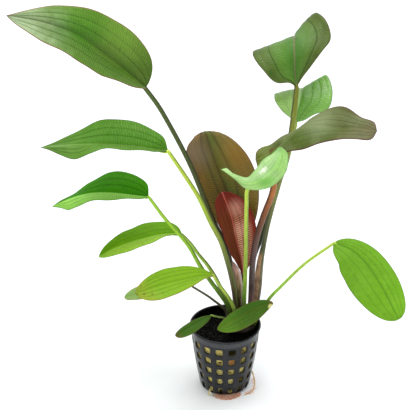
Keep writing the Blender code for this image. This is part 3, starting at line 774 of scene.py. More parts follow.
def blade_finish(
    name, left, right=None, inner=None, outer=None, outer_from=(0.55, 1.3), outer_much=0.8,
    outer_right_only=False, base=None, base_to=0.5, tip=None, tip_from=0.6, stain=None, stain_much=0.6,
    vein=(150, 190, 90), vein_wide=0.7, vein_much=0.35, veins=(1.0, 0.8, 0.2), rib=None, rib_wide=0.9,
    rib_much=0.55, rung=None, rungs=0.6, ladder=0.25, ladder_to=None, slant=0.25, bend=3.0, pucker=0.1,
    spots=(), rim=(120, 110, 60), rim_wide=0.9, rim_much=0.6, gloss=0.42, shine=0.18,
):
    """A leaf's skin. Its tones: the two halves, whose difference is partly the leaf's own and partly painted
    light and shade on the two sides of its fold; inner by the midrib, partly painted shade in the crease;
    outer by the margin, base and tip, stain, lengthwise veins, rib, the rungs of its ladder of cross veins,
    spots, of which some are painted highlights and painted shade, and rim. What ends in wide is in
    millimetres, rungs is half their pitch, and much and ladder are how strongly a tone shows."""
    leaf = Finish(name, 0.4, left, shine)
    share = leaf.written("share")[1]
    flat, place = leaf.written("place")
    across = leaf.sum("ABSOLUTE", share[0])
    out = leaf.sum("ABSOLUTE", place[0])
    width = leaf.plus(out, place[2])
    drift = leaf.clouds(9.0)
    fine = leaf.clouds(2.2, 4.0)
    along = leaf.plus(share[1], leaf.times(drift, 0.2))
    # Painted light and shade: the two halves take their own tones, partly for the light on one side of the
    # fold and the shade on the other.
    on_right = leaf.rise(share[0], -0.04, 0.04)
    leaf.coat(on_right, right or left)
    # Partly painted shade: the inner tone lies in the crease along the midrib.
    if inner:
        leaf.coat(leaf.fall(leaf.plus(across, leaf.times(drift, 0.2)), 0.1, 0.6), inner)
    if outer:
        much = leaf.rise(leaf.plus(across, leaf.times(drift, 0.35)), *outer_from, outer_much)
        if outer_right_only:
            much = leaf.times(much, on_right)
        leaf.coat(much, outer)
    if base:
        leaf.coat(leaf.fall(along, 0.1, base_to), base)
    if tip:
        leaf.coat(leaf.rise(along, tip_from, 1.15), tip)
    if stain:
        leaf.coat(leaf.rise(leaf.clouds(14.0, 4.0), 0.42, 0.68, stain_much), stain)
    deep = leaf.tinged(0.7, 1.08)
    bright = leaf.tinged(1.25)
    leaf.coat(leaf.fall(fine, 0.2, 0.6, 0.5), deep)
    leaf.coat(leaf.rise(drift, 0.45, 0.75, 0.4), bright)

    lines = 0.0
    for at, strength in zip(VEINS, veins):
        off = leaf.times(leaf.sum("ABSOLUTE", leaf.minus(across, at)), width)
        lines = leaf.sum("MAXIMUM", lines, leaf.fall(off, 0.1, vein_wide, strength))
    slanted = leaf.minus(place[1], leaf.times(out, slant))
    slanted = leaf.plus(slanted, leaf.times(leaf.clouds(5.0, 2.0), bend))
    ladders = leaf.fall(leaf.sum("PINGPONG", slanted, rungs), 0.15 * rungs, 0.8 * rungs)
    if ladder_to:
        ladders = leaf.times(ladders, leaf.rise(share[0], 0.02, 0.12))
        ladders = leaf.times(ladders, leaf.fall(share[0], ladder_to - 0.4, ladder_to))
    ladders = leaf.times(ladders, leaf.fall(along, 0.5, 0.95))
    cells = leaf.step("TexVoronoi", {"Vector": flat, "Scale": 0.62}, feature="DISTANCE_TO_EDGE")
    cells = cells.outputs["Distance"]
    leaf.coat(leaf.fall(cells, 0.0, 0.14, 0.2), deep)
    leaf.coat(leaf.times(ladders, ladder), rung or vein)
    leaf.coat(leaf.times(lines, vein_much), vein)
    leaf.coat(leaf.times(leaf.fall(out, 0.2, rib_wide), rib_much), rib or vein)
    # Spots: real marks, and on some leaves painted highlights and painted shade.
    for spot, size, tone, much in spots:
        level = leaf.step("Mapping", {"Vector": flat, "Scale": (1.0, 1.0, 0.0)}).outputs[0]
        level = leaf.step("VectorMath", {0: level, 1: (*spot, 0.0)}, operation="DISTANCE").outputs["Value"]
        level = leaf.plus(level, leaf.times(leaf.minus(fine, 0.5), min(size * 0.6, 2.4)))
        leaf.coat(leaf.fall(level, 0.45 * size if size < 6 else 0.0, size, much), tone)
    leaf.coat(leaf.fall(place[2], 0.2, rim_wide, rim_much), rim)
    leaf.coat(share[2], leaf.tinged(0.95, 0.85))
    leaf.roughness(leaf.plus(gloss - 0.08, leaf.times(fine, 0.22)))
    leaf.relief(leaf.minus(1.0, lines), 0.3)
    leaf.relief(leaf.minus(1.0, ladders), pucker)
    leaf.relief(leaf.rise(cells, 0.0, 0.5), 0.06)
    leaf.relief(fine, 0.1)
    return leaf


def stalk_finish(name, tones, right=None, left=None, wing=None, streaks=0.75):
    """A stalk's skin: its tone at each height in millimetres, fine ribs, and tones painted on the sides that
    face right and left, darker ones as painted shade and paler ones as painted highlight.
    """
    skin = Finish(name, 0.4, shine=0.3)
    flat, share = skin.written("share")
    drift = skin.times(skin.minus(skin.clouds(5.0), 0.5), 9.0)
    height = skin.plus(skin.parts(skin.here())[2], drift)
    skin.tone = skin.ramp(height, tones)
    turn = skin.plus(share[0], skin.times(skin.minus(skin.clouds(3.0, 2.0), 0.5), 0.2))
    streak = skin.clouds(1.0, 3.0, (1.0, 1.0, 0.12))
    deep = skin.tinged(0.42)
    pale = skin.tinged(1.5, 0.85)
    low = skin.fall(height, 70.0, 125.0, streaks)
    skin.coat(skin.times(skin.fall(streak, 0.36, 0.56), skin.plus(low, 0.25)), deep)
    skin.coat(skin.times(skin.rise(streak, 0.55, 0.7), low), pale)
    # Painted shade and highlight: the sides that face right and left take their own tones.
    if right:
        skin.coat(skin.rise(turn, 0.62, 0.92, 0.8), right)
    if left:
        skin.coat(skin.fall(turn, 0.08, 0.36, 0.8), left)
    if wing:
        tone, low, high = wing
        tone = skin.blend(skin.rise(skin.clouds(4.0, 4.0), 0.42, 0.62, 0.6), tone, (92, 66, 60))
        here = skin.times(skin.rise(height, low, low + 4), skin.fall(height, high - 6, high))
        skin.coat(skin.times(here, skin.fall(turn, 0.5, 0.66)), tone)
    ribs = skin.step("TexWave", {"Vector": flat, "Scale": 9.0, "Distortion": 0.4}, bands_direction="X")
    skin.relief(ribs.outputs["Fac"], 0.1)
    skin.relief(streak, 0.1)
    return skin


def grow(name, kind, blade_look, stalk_look, **leaf):
    """One leaf: its blade and its stalk, each with its own skin. The kind is not used.
    Its form, in millimetres and degrees: points along the stem and the midrib, the way it faces at its base
    and tip, each half as points along its edge or as a width, the form of its ends and its fold, and the
    height and length of its waves."""
    add_blade(name, leaf, blade_finish(**blade_look))
    add_stalk(name, leaf, stalk_finish(**{"name": name + "_stalk", **stalk_look}))


grow(
    "top_left", "olive_green",
    stem=[
        (8.3, 8.5, 50.5), (8, 10.5, 68), (7.3, 10.5, 75.5), (5.5, 10, 87.5), (3, 10, 100), (-3, 10, 119),
        (-7.5, 10, 128.5), (-13.5, 12, 143.5), (-25, 17, 172.5), (-39, 21.5, 200.5), (-47, 22, 215.5),
        (-55, 22, 227.5),
    ],
    stem_radius=(2.0, 1.9, 1.8, 1.7, 1.6),
    midrib=[(-55, 22, 228.5), (-79, 17, 252.5), (-99, 9, 271.5), (-120, -2, 284), (-140, -12, 291.5)],
    face=((-90, 56), (-90, 50)),
    left=dict(width=24.5, ends=(0.6, 0.85), fold=(48, -12)),
    right=dict(width=23.6, ends=(0.45, 1.1), fold=(20, 15)),
    wave=(0.45, 26),
    blade_look=dict(
        # Painted sheen: the pale grey tip.
        name="top_left_green", left=(76, 114, 26), right=(90, 136, 38), inner=(64, 104, 20),
        base=(82, 110, 30), tip=(176, 196, 156), tip_from=0.64, outer=(108, 150, 48), outer_much=0.4,
        stain=(112, 130, 60), stain_much=0.3, vein=(46, 80, 16), vein_much=0.5, rib=(64, 76, 28),
        rim=(132, 70, 44), rim_much=0.85, rim_wide=1.0, ladder=0.5, rungs=0.8, rung=(58, 98, 20),
        pucker=0.2,
        # Painted light and shade: the first spot is a painted pool of light on the upper half, the second
        # painted shade below the midrib.
        spots=[
            ((14, 34), 27, (128, 166, 60), 0.4), ((-8, 30), 26, (60, 98, 16), 0.5),
            ((3, 60), 24, (66, 130, 22), 0.4),
        ],
    ),
    stalk_look=dict(
        tones=[
            (52, 62, 44, 34), (72, 82, 60, 44), (88, 104, 98, 62), (104, 102, 84, 64), (118, 84, 86, 48),
            (170, 86, 96, 48), (226, 92, 112, 48),
        ],
        # Painted shade: the side that faces right is painted dark.
        right=(30, 30, 16),
    ),
)


# The three green leaves below it: soft blades folded along the midrib, on thin yellow-green stalks that
# spring from the crown one under the other.
grow(
    "upper_left", "leaf_green",
    stem=[
        (5.5, 3.2, 50.5), (7, 1.5, 70.5), (4.5, 1.5, 88.5), (1, 0.5, 104.5), (-4, -1.5, 122.5),
        (-10, -3, 136), (-20, -9, 162.5), (-28.5, -14, 180), (-39, -20, 200.5),
    ],
    stem_radius=(1.8, 1.8, 1.7, 1.5, 1.3),
    midrib=[
        (-39, -20, 200.5), (-54, -23, 204.5), (-79, -29, 209.5), (-103, -36, 212.5), (-120, -42, 213.5),
    ],
    face=((-90, 80), (-90, 80)),
    left_edge=[
        (-50, -33, 206.5), (-66, -42, 212), (-80, -46, 214), (-88, -46, 211.5), (-98.5, -44, 206),
        (-108, -42, 208.5), (-115, -42, 212),
    ],
    right_edge=[
        (-42, -14, 207.5), (-51, -9, 212.5), (-66, -8, 217.5), (-81, -12, 220), (-94, -20, 217.5),
        (-110, -33, 214),
    ],
    wave=(0.4, 22),
    blade_look=dict(
        name="upper_left_green", left=(90, 136, 40), right=(74, 130, 14), tip=(84, 124, 44),
        outer=(92, 146, 40), outer_much=0.4, vein=(48, 92, 12), rib=(134, 168, 92), rib_much=0.45,
        rim=(60, 80, 24), ladder=0.5, rungs=0.8, rung=(54, 98, 14), pucker=0.2, stain=(110, 146, 60),
        stain_much=0.3,
    ),
    stalk_look=dict(
        tones=[
            (52, 64, 46, 36), (74, 78, 62, 44), (86, 104, 94, 60), (100, 122, 128, 78),
            (124, 160, 174, 80), (150, 200, 228, 74), (200, 218, 244, 86),
        ],
        # Painted shade: the side that faces right is painted darker.
        right=(110, 130, 52), streaks=0.5,
    ),
)

grow(
    "middle_left", "dark_green",
    stem=[
        (3.2, -0.2, 50.5), (1, -1, 69.5), (-4.5, -2.5, 80), (-10, -4, 89.5), (-18.5, -9, 107),
        (-26, -14.5, 125.5), (-43.5, -16, 150), (-53, -12, 162.5),
    ],
    stem_radius=(1.7, 1.6, 1.5, 1.3, 1.1),
    midrib=[
        (-53, -12, 162.5), (-65.5, -14, 165), (-77, -16, 167.5), (-94, -21, 169.5), (-103, -24, 168.5),
        (-117, -28, 163.5),
    ],
    face=((-90, 80), (-90, 80)),
    left_edge=[
        (-56.5, -20, 165.5), (-67.5, -27, 168.5), (-80, -33, 171), (-90, -35, 171), (-100, -35, 167),
        (-105.5, -33, 163.5), (-111, -31, 164),
    ],
    right_edge=[
        (-54, -7, 169.5), (-60, -3, 173.5), (-70, 1, 175), (-81, 0, 175), (-91.5, -7, 172),
        (-102.5, -14, 166.5), (-112, -24, 165.5),
    ],
    wave=(0.4, 20),
    blade_look=dict(
        name="middle_left_green", shine=0.08, left=(158, 220, 98), right=(58, 134, 0),
        outer=(78, 150, 16), outer_much=0.35, vein=(30, 88, 4), rib=(120, 184, 70), rim=(46, 92, 14),
        ladder=0.35, pucker=0.14,
    ),
    stalk_look=dict(
        tones=[
            (52, 70, 66, 34), (70, 66, 96, 22), (80, 90, 128, 34), (92, 126, 172, 46),
            (120, 168, 220, 58), (162, 184, 236, 68),
        ],
        # Painted shade: the side that faces right is painted darker.
        right=(86, 112, 34), streaks=0.4,
    ),
)

grow(
    "lower_left", "yellow_green",
    stem=[
        (2.5, 8, 50.5), (3, 5.5, 68), (-3, 3, 80), (-8, 2, 91.5), (-13.5, -1, 103), (-19, -4, 112.5),
        (-25, -5, 122.5), (-31, -7, 131),
    ],
    stem_radius=(1.5, 1.6, 1.5, 1.2, 1.0),
    midrib=[(-31, -7, 131), (-46, -12, 133), (-58, -18, 133), (-77, -28, 131), (-86.5, -34, 128)],
    face=((-90, 81), (-90, 70)),
    left=dict(width=12.5, ends=(0.5, 0.7), fold=(40, 6)),
    right=dict(width=13.5, ends=(0.3, 0.7), fold=(8, 0)),
    wave=(0.3, 18),
    blade_look=dict(
        name="lower_left_green", shine=0.1, left=(154, 198, 62), right=(98, 150, 0), vein=(70, 124, 8),
        rib=(150, 200, 70), rim=(80, 110, 24), vein_much=0.25,
    ),
    stalk_look=dict(
        tones=[
            (52, 84, 78, 40), (70, 118, 150, 36), (84, 150, 172, 66), (92, 190, 222, 92),
            (110, 170, 214, 72), (130, 180, 222, 86),
        ],
        # Painted shade: the side that faces right is painted darker.
        right=(94, 92, 44), streaks=0.4,
    ),
)


# The low leaves round the pot's mouth, which grow from the crown on short stalks: a spotted yellow-green one
# in front, a paler one behind it, and two small ones that lie over the rim, the right one hiding the middle
# of the mouth.
grow(
    "front_left", "yellow_green",
    stem=[(8.5, -2.7, 50.5), (5, -7, 72.5), (-5, -14, 94.5), (-9, -20, 105.5)],
    stem_radius=(1.6, 1.4, 1.2, 1.0),
    midrib=[(-9, -20, 105.5), (-19, -28, 109.5), (-28, -35, 111.5), (-42, -46, 114.5), (-61, -60, 115.5)],
    face=((-90, 75), (-90, 65)),
    left=dict(width=13, ends=(1.0, 0.45), fold=(20, 0)),
    right=dict(width=12, ends=(0.6, 0.7), fold=(8, 5)),
    wave=(0.12, 16),
    blade_look=dict(
        name="front_left_green", left=(122, 168, 26), right=(116, 164, 10), tip=(150, 164, 44),
        tip_from=0.8, vein=(86, 134, 10), rib=(94, 140, 14), ladder=0.35, rung=(160, 196, 50),
        rim=(136, 108, 38), rim_much=0.75,
        spots=[
            ((-3.5, 62), 1.0, (70, 50, 24), 0.8), ((-6, 57), 0.8, (80, 56, 28), 0.8),
            ((-1.5, 66), 0.7, (76, 54, 26), 0.7), ((-8, 50), 0.7, (96, 70, 32), 0.6),
            ((4, 60), 0.6, (90, 66, 30), 0.6),
        ],
    ),
    stalk_look=dict(
        tones=[(52, 92, 90, 44), (66, 130, 156, 50), (84, 178, 206, 74), (104, 196, 220, 86)],
        # Painted shade: the side that faces right is painted darker.
        right=(120, 150, 46), streaks=0.3,
    ),
)

grow(
    "hidden_left", "leaf_green",
    stem=[(1.5, 3.5, 50.5), (0, 2.5, 62), (-8.5, 6, 68.5), (-25, 18, 73.5)],
    stem_radius=(1.0, 0.8),
    midrib=[(-25, 18, 73.5), (-50, 24, 67), (-75, 28, 57.5)],
    face=((-90, 80), (-90, 80)),
    left=dict(width=9.5, ends=(0.6, 0.5), fold=(8, 5)),
    right=dict(width=9.5, ends=(0.6, 0.5), fold=(8, 5)),
    wave=(0.25, 15),
    blade_look=dict(
        name="hidden_left_green", left=(112, 152, 66), tip=(140, 172, 92), vein=(92, 128, 54),
        rim=(128, 104, 66), rim_much=0.75,
    ),
    stalk_look=dict(tones=[(52, 52, 44, 26), (62, 66, 58, 36), (73, 84, 82, 48)]),
)

grow(
    "rim_left", "dark_green",
    stem=[(4.8, -2.8, 50.5), (-1, -3.8, 59.5), (-6, -5.2, 61.5), (-10.5, -6, 63.5)],
    stem_radius=(0.8, 0.6),
    midrib=[(-10.5, -6, 63.5), (-18, -10, 61.5), (-27, -14, 57.5), (-36, -18, 53.5)],
    face=((-90, 70), (-90, 70)),
    left=dict(width=6.5, ends=(0.6, 0.45), fold=(8, 5)),
    right=dict(width=3.5, ends=(0.8, 0.5), fold=(8, 5)),
    wave=(0.2, 12),
    blade_look=dict(
        name="rim_left_green", left=(68, 108, 20), tip=(112, 86, 42), tip_from=0.9, vein=(46, 84, 12),
        rim=(76, 74, 28),
    ),
    stalk_look=dict(tones=[(52, 80, 84, 40), (59, 116, 136, 60), (63, 150, 176, 84)]),
)

grow(
    "rim_front", "dark_green",
    stem=[(17.2, -1.2, 50.5), (21, 0, 59), (28, 1, 65.5), (33, -0.5, 69.8)],
    stem_radius=(1.4, 1.2, 1.0),
    midrib=[(34.5, -2, 71), (26, -5, 70.5), (14, -11, 68), (2, -17, 64), (-6, -21, 61)],
    face=((-90, 55), (-90, 55)),
    left=dict(width=10, ends=(0.8, 0.6), fold=(5, 5)),
    right=dict(width=6, ends=(0.5, 0.6), fold=(5, 5)),
    wave=(0.25, 14),
    blade_look=dict(
        name="rim_front_green", left=(64, 102, 4), right=(60, 102, 8), tip=(88, 132, 24),
        vein=(40, 76, 4), vein_much=0.2, rib=(110, 88, 40), rib_much=0.18, rim=(104, 96, 40),
        spots=[
            ((-2.7, 2.2), 3.5, (230, 220, 146), 0.95), ((2.0, 1.5), 2.6, (110, 84, 48), 0.8),
            ((-7.0, 5.5), 1.4, (120, 92, 44), 0.8),
        ],
    ),
    stalk_look=dict(tones=[(52, 60, 56, 30), (60, 92, 110, 40), (69, 130, 150, 60)]),
)


# The bronze leaf at the back: a broad upright blade that arches back at its tip, olive-brown with a greener
# strip between its dark ribs, orange-brown to the right, with a painted grey-violet sheen at its upper left.
# Its short stalk grows from the back of the crown.
grow(
    "bronze_back", "bronze",
    stem=[(10.6, 12.3, 50.5), (12, 15, 62.5), (13, 22, 80.5)],
    stem_radius=(1.8, 1.4),
    midrib=[
        (13, 22, 80.5), (7.5, 24, 115.5), (1, 28, 146.5), (-5.5, 31, 162), (-11, 35, 176.5),
        (-15, 40.5, 186.5), (-18.5, 47, 183), (-22, 54, 174),
    ],
    face=((-90, 10), (-90, 70)),
    left_edge=[
        (4.5, 21, 98), (-2.5, 22, 116), (-8, 22.5, 127.5), (-16.5, 24, 143), (-23.5, 27, 165.5),
        (-28, 29.5, 177), (-26.5, 31.5, 181.5), (-23, 36, 184.5), (-22.5, 43, 181.5), (-23, 50, 176),
    ],
    right_edge=[
        (10, 20, 103), (17.5, 18.5, 117), (22, 19, 131), (23.5, 20, 144), (20, 25, 166), (12, 30, 178.5),
        (4, 38, 183), (-4, 43.5, 185.5), (-11, 48, 183.5), (-17, 53, 178),
    ],
    wave=(0.5, 24),
    quilt=0.35,
    blade_look=dict(
        name="back_bronze", left=(84, 72, 26), right=(84, 90, 30), outer=(122, 88, 30),
        outer_from=(0.42, 0.9), outer_much=0.7, stain=(84, 88, 34), stain_much=0.4, base=(74, 60, 16),
        vein=(58, 44, 20), vein_wide=1.4, vein_much=0.45, veins=(1.0, 0.15, 0.1), rib=(60, 48, 22),
        rib_wide=1.5, rib_much=0.5, rim=(112, 50, 38), rim_much=0.85, ladder=0.4, rung=(142, 126, 66),
        rungs=0.8, pucker=0.2,
        # Painted sheen: the first spot, grey-violet at the upper left.
        spots=[
            ((-14, 100), 20, (124, 114, 100), 0.5), ((15, 88), 24, (136, 96, 32), 0.3),
            ((14, 40), 30, (118, 88, 26), 0.5),
        ],
    ),
    stalk_look=dict(tones=[(52, 60, 40, 30), (66, 80, 52, 36), (80, 96, 66, 40)]),
)


# The young red leaf in the middle: still narrow and half folded, brown-red to the left of its pink midrib
# and crossed by tan-pink rungs to the right of it. It comes out of a wide pale sheath that grows from the
# crown and ends in a pointed wing.
grow(
    "red_young", "deep_red",
    stem=[
        (12, 3.8, 50.5), (10.3, 5.3, 71), (10.2, 5.3, 78), (9.6, 5.3, 83.5), (8.5, 5.5, 90),
        (6.8, 6.2, 95.5), (5, 7.2, 100),
    ],
    stem_radius=(2.4, 2.4, 2.3, 2.3, 2.3, 2.4, 2.6, 2.7, 2.8, 2.5, 0.8),
    midrib=[(12.5, 8, 89), (11, 9, 100.5), (8, 9, 113.5), (3, 12, 136.5), (-3, 15, 152.5)],
    face=((-62, 5), (-62, 5)),
    left=dict(width=13.5, ends=(0.9, 0.4), fold=(35, 20)),
    right=dict(width=16, ends=(0.9, 0.65), fold=(28, 20)),
    meets_blade=False,
    wave=(0.4, 14),
    quilt=0.4,
    blade_look=dict(
        name="young_red", left=(98, 42, 8), right=(122, 46, 22), outer=(112, 20, 4),
        outer_from=(0.6, 0.85), outer_right_only=True, base=(70, 10, 10), base_to=0.28, tip=(104, 28, 20),
        tip_from=0.8, vein=(84, 26, 8), vein_much=0.45, rib=(190, 98, 84), rib_wide=1.2, rib_much=0.85,
        rim=(108, 20, 10), rim_much=0.6, rim_wide=1.4, rungs=0.75, slant=0.2, ladder=0.85,
        rung=(246, 190, 150), ladder_to=0.95, bend=1.5, pucker=0.3, gloss=0.42, shine=0.15,
        # Painted highlights: two pale pink spots right of the midrib.
        spots=[((5, 52), 9, (226, 168, 146), 0.4), ((5, 36), 9, (226, 168, 146), 0.4)],
    ),
    stalk_look=dict(
        name="red_young_sheath",
        tones=[
            (52, 66, 50, 28), (70, 96, 82, 40), (78, 146, 130, 76), (86, 168, 138, 98),
            (94, 196, 148, 128), (100, 206, 150, 138),
        ],
        # Painted light and shade: the side that faces right is a painted pink-white highlight, the side that
        # faces left painted darker.
        right=(238, 214, 204), left=(120, 104, 60),
    ),
)


# The pale curled leaf in front: a light green sickle that rolls over at the top of its stalk and narrows to
# a blunt tongue at the left, on a bright yellow-green stalk.
grow(
    "pale_curled", "pale_green",
    stem=[
        (13, -1, 50.5), (13.4, -2, 76), (13.6, -4, 87.5), (13.8, -7, 106), (13.6, -12, 129),
        (13.2, -21, 162.5), (13.4, -25, 174.5), (18, -28.5, 187), (26, -30, 198), (34, -28.5, 206.5),
    ],
    stem_radius=(2.2, 1.6, 1.4, 1.4, 1.4, 1.4, 1.3),
    midrib=[
        (34.5, -30, 208.5), (33, -34, 204), (30, -37.5, 199), (24.5, -41, 194), (18, -43, 190.5),
        (10.5, -43.5, 189.5), (4, -43.5, 193.5), (-1.5, -42, 196.5), (-4.5, -40, 197),
    ],
    face=((-90, 30), (-90, 60)),
    left_edge=[
        (38.5, -32, 205.5), (39, -36, 201), (38, -39.5, 196), (34, -42.5, 191), (27, -44, 186),
        (18.5, -45, 184.5), (11, -45, 186), (5, -44.5, 191.5), (-0.5, -43, 195.5),
    ],
    right_edge=[
        (30, -31, 205), (22.5, -36, 202), (17.5, -38.5, 196), (12.5, -40, 191.5), (7.5, -40, 192.5),
        (3, -40, 194.5), (-1, -39, 197.5),
    ],
    wave=(0.3, 13),
    blade_look=dict(
        name="pale_green", left=(148, 198, 102), right=(162, 202, 130), tip=(182, 216, 142), tip_from=0.6,
        outer=(176, 214, 138), outer_much=0.6, vein=(104, 172, 72), vein_much=0.15, rib=(118, 180, 84),
        rib_much=0.3, rim=(96, 156, 62), rim_much=0.55, rim_wide=1.5, ladder=0.1, gloss=0.3, shine=0.5,
        # Painted light and shade: the first spot is painted shade in the pocket of the fold, and the last
        # four are a painted highlight streak with its soft glow.
        spots=[
            ((-4.0, 25), 7.0, (98, 174, 56), 0.75), ((-4.0, 18), 3.0, (130, 168, 122), 0.3),
            ((2.6, 22), 6.5, (198, 228, 170), 0.5), ((3.0, 19), 1.6, (232, 244, 216), 0.6),
            ((3.0, 21), 1.8, (240, 250, 230), 0.8), ((3.0, 23.5), 1.5, (232, 244, 216), 0.5),
        ],
    ),
    stalk_look=dict(
        tones=[
            (52, 70, 60, 40), (66, 96, 92, 56), (78, 96, 140, 32), (94, 152, 190, 52),
            (112, 174, 204, 66), (140, 198, 228, 86), (170, 218, 248, 88), (196, 196, 232, 88),
            (206, 132, 192, 100),
        ],
        # Painted shade: the side that faces right is painted darker.
        right=(120, 156, 52), streaks=0.4,
    ),
)


# The two leaves that arch away at the upper right: the highest one, green with brownish edges on a stalk that
# opens into a beige-pink sheath near the crown, and under it a lighter, glossier one on a dark green stalk.
grow(
    "top_right", "olive_green",
    stem=[
        (20.3, 7.3, 50.5), (22.9, 8, 70), (23.9, 8.5, 87.5), (25.2, 9, 101.5), (27.1, 9.5, 113),
        (29.7, 11, 128), (33.2, 14, 142.5), (37, 22, 153), (44, 31, 178), (47, 37, 198), (49, 42, 219.5),
    ],
    stem_radius=(2.0, 2.4, 3.1, 2.5, 1.7, 1.6, 1.6, 1.6, 1.8, 2.1, 2.1, 1.7),
    midrib=[
        (49, 42, 220.5), (47.5, 44, 229.5), (47, 46, 241.5), (47, 52, 248), (48, 68, 248.5),
        (49, 88, 238.5), (49.5, 106, 223.5),
    ],
    face=((-90, 20), (-90, 80)),
    left_edge=[
        (43.5, 40, 224.5), (35, 40, 224.5), (25, 42, 233.5), (19, 50, 239.5), (19, 62, 239.5),
        (23, 82, 226.5),
    ],
    left_bulge=-0.04,
    right_edge=[
        (53, 43, 227.5), (59, 45, 235), (66, 49, 244), (72.5, 56, 250.5), (69.5, 66, 261),
        (64, 75, 263.5), (59, 92, 248.5),
    ],
    wave=(0.4, 20),
    blade_look=dict(
        name="top_right_green", left=(78, 128, 22), right=(80, 118, 32), inner=(60, 114, 6),
        outer=(70, 84, 16), outer_from=(0.5, 1.0), outer_much=0.8, stain=(112, 142, 68), stain_much=0.25,
        vein=(36, 62, 8), vein_wide=0.55, veins=(0.15, 1.0, 0.1), vein_much=0.6, rib=(116, 106, 74),
        rib_much=0.75, ladder=0.2, rim=(104, 76, 44), rim_much=0.8, shine=0.3, gloss=0.36,
        spots=[((1.2, 37), 1.5, (62, 50, 24), 0.7), ((-19, 20), 2.2, (40, 84, 2), 0.7)],
    ),
    stalk_look=dict(
        tones=[
            (52, 70, 56, 42), (72, 106, 90, 66), (90, 112, 104, 72), (110, 98, 106, 68),
            (132, 124, 130, 86), (150, 132, 140, 76), (190, 146, 158, 54), (219, 134, 140, 40),
        ],
        # Painted shade: the side that faces left is painted darker; the wing is the sheath's own beige-pink.
        left=(58, 54, 30), wing=((190, 150, 108), 58, 110),
    ),
)

grow(
    "glossy_right", "pale_green",
    stem=[
        (17.2, 11.5, 50.5), (18.9, 12.5, 67), (19.2, 14, 76.5), (19.6, 15, 85.5), (21.2, 17, 99.5),
        (25, 19, 110.5), (28.5, 22, 122), (32.5, 26, 136.5), (44, 38, 166.5), (49.5, 47, 190),
    ],
    stem_radius=(1.6, 1.5, 1.5, 1.4),
    midrib=[
        (49.5, 48, 191), (51, 50, 199), (53.5, 56, 206.5), (55, 70, 208), (57, 86, 197),
        (58.5, 98, 182.5),
    ],
    face=((-90, 20), (-90, 80)),
    left_edge=[
        (45.5, 46, 195.5), (39.5, 47, 200.5), (35.5, 50, 205), (34.5, 60, 207), (41, 80, 194.5),
    ],
    right_edge=[
        (55, 49, 192), (62.5, 50, 196), (73, 54, 199), (76.5, 62, 207.5), (73.5, 76, 215.5),
        (66, 90, 200.5),
    ],
    wave=(0.35, 18),
    blade_look=dict(
        name="glossy_right_green", left=(166, 212, 116), right=(100, 160, 42), outer=(142, 190, 98),
        outer_much=0.4, vein=(74, 126, 34), vein_much=0.15, rib=(84, 138, 52), rim=(76, 104, 44),
        ladder=0.12, gloss=0.28, shine=0.6,
    ),
    stalk_look=dict(
        tones=[
            (52, 44, 34, 24), (96, 44, 52, 20), (124, 66, 82, 32), (150, 110, 140, 56),
            (190, 170, 206, 78),
        ],
    ),
)


# The bronze leaf on the right: a greyish olive blade with purple-brown edges that reaches right, its left
# lobe curling forward, on a stout stalk, orange-brown above and purple-brown below.
grow(
    "bronze_right", "bronze",
    stem=[
        (17.8, 3, 50.5), (18.5, 3, 72.5), (18.7, 1.5, 92.5), (19.1, 0.5, 104), (21.1, -2, 123.5),
        (25.8, -7, 146), (30.5, -11, 163.5), (31.2, -13, 168.5), (31, -19, 199.5),
    ],
    stem_radius=(2.1, 2.1, 2.2, 2.2, 2.0),
    midrib=[
        (18.5, -20.5, 194.5), (30.5, -19, 201.5), (39.5, -22, 211), (49, -24, 219.5), (59.5, -27, 222),
        (72.5, -32, 223), (82, -37, 225), (94, -44, 226),
    ],
    face=((-90, 55), (-90, 70)),
    left_edge=[
        (19, -17.5, 198.5), (23, -13, 200.5), (28, -11, 201), (35.5, -11, 206.5), (47, -12, 213.5),
        (56.5, -14, 222.5), (66.5, -18, 231), (75, -24, 234), (85.5, -31, 230), (93, -38, 229),
    ],
    right_edge=[
        (21, -24, 189), (29, -26, 195), (38.5, -30, 204.5), (48.5, -34, 208.5), (59, -37, 214),
        (68.5, -42, 219), (80.5, -47, 221.5), (90.5, -48, 222.5),
    ],
    meets_blade=False,
    wave=(0.4, 22),
    blade_look=dict(
        name="right_bronze", left=(84, 102, 38), right=(70, 94, 14), outer=(76, 78, 30), outer_much=0.6,
        stain=(118, 130, 86), stain_much=0.4, base=(106, 120, 38), tip=(102, 96, 66), vein=(64, 72, 32),
        vein_much=0.35, rib=(112, 112, 66), rib_much=0.3, rim=(88, 50, 44), rim_much=0.85, rim_wide=1.3,
        ladder=0.14, rung=(140, 144, 96),
        # Painted light and shade: the first spot is painted shade near the lobe, the second a painted band of
        # light along the middle.
        spots=[
            ((-2, 18), 8, (52, 66, 16), 0.6), ((-4, 50), 20, (150, 160, 122), 0.45),
            ((0, 12.5), 2.6, (92, 66, 36), 0.9),
        ],
    ),
    stalk_look=dict(
        tones=[
            (52, 70, 48, 44), (72, 122, 84, 82), (82, 70, 52, 46), (96, 92, 76, 74), (114, 110, 84, 82),
            (134, 116, 74, 54), (150, 150, 90, 48), (166, 204, 124, 62), (190, 184, 108, 54),
            (199, 96, 56, 34),
        ],
        # Painted shade: the side that faces left is painted darker.
        left=(64, 38, 34),
    ),
)


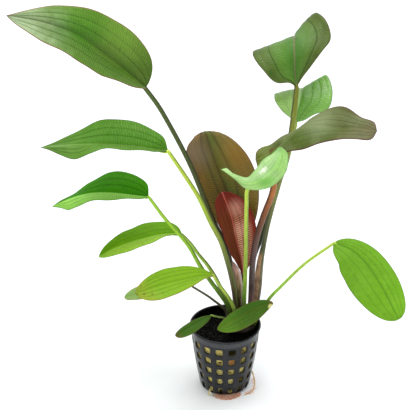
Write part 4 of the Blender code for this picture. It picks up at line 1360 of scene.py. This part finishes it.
# The far right leaf: a broad light green blade, softly mottled, that hangs at the end of a long, thin,
# arching stalk from the right edge of the crown.
grow(
    "far_right", "leaf_green",
    stem=[
        (21, 0.5, 50.5), (24.2, 3.5, 61.5), (29.6, 5, 67), (32.7, 4, 72.5), (40.3, 3, 82.5),
        (56, -4, 105.5), (75, -10, 125.5),
    ],
    stem_radius=(1.3, 1.2, 1.1, 1.0),
    midrib=[(75, -10, 125.5), (86, -14, 122.5), (96, -20, 115.5), (106, -30, 103.5), (118, -44, 84.5)],
    face=((-110, 55), (-110, 55)),
    left=dict(width=13, ends=(0.6, 0.45), fold=(8, 5)),
    right=dict(width=20.5, ends=(0.45, 0.5), fold=(8, 5)),
    wave=(0.35, 22),
    blade_look=dict(
        name="far_right_green", left=(110, 166, 28), right=(106, 160, 26), vein=(76, 130, 12),
        vein_much=0.25, rib=(76, 126, 20), rim=(88, 118, 28), stain=(126, 178, 50), stain_much=0.3,
    ),
    stalk_look=dict(
        tones=[(52, 84, 92, 36), (68, 120, 176, 40), (80, 176, 226, 84), (124, 202, 234, 92)],
        # Painted shade: the side that faces right is painted darker.
        right=(140, 196, 60), streaks=0.1,
    ),
)


# What stands round the plant for its picture: a plain white table top, soft light from above and in front,
# and the camera at the height and angle that the plant is seen from.
TABLE_SIZE = 8.0
SENSOR = 36.0
PHOTO_PIXELS = 410
FOCAL_PIXELS = 1228
CAMERA_PLACE = (-0.0148, -0.752, 0.5465)
CAMERA_TILT = 62.2

bpy.ops.mesh.primitive_plane_add(size=TABLE_SIZE, location=(0, 0, 0))
table = bpy.context.object
table.name = "table_top"
board = Finish("white_table", 0.8, shine=0.1)
board.shader.inputs["Base Color"].default_value = (0.95, 0.97, 0.99, 1.0)
table.data.materials.append(board.material)

world = bpy.data.worlds.new("studio")
bpy.context.scene.world = world
world.use_nodes = True
background = world.node_tree.nodes["Background"]
background.inputs["Color"].default_value = (1.0, 1.0, 1.0, 1.0)
background.inputs["Strength"].default_value = 0.9


def lamp(name, place, aim, size, power):
    data = bpy.data.lights.new(name, "AREA")
    data.shape = "DISK"
    data.size = size
    data.energy = power
    made = bpy.data.objects.new(name, data)
    made.location = place
    made.rotation_euler = (Vector(aim) - Vector(place)).to_track_quat("-Z", "Y").to_euler()
    bpy.context.scene.collection.objects.link(made)


lamp("overhead", (0.1, 0.25, 1.5), (0, 0, 0.1), 1.1, 13.0)
lamp("front", (-0.7, -1.1, 1.1), (0, 0, 0.15), 0.9, 4.0)

bpy.context.scene.view_settings.view_transform = "Standard"
camera_data = bpy.data.cameras.new("camera")
camera_data.sensor_width = SENSOR
camera_data.lens = FOCAL_PIXELS / PHOTO_PIXELS * SENSOR
camera = bpy.data.objects.new("camera", camera_data)
camera.location = CAMERA_PLACE
camera.rotation_euler = (math.radians(CAMERA_TILT), 0.0, 0.0)
bpy.context.scene.collection.objects.link(camera)
bpy.context.scene.camera = camera
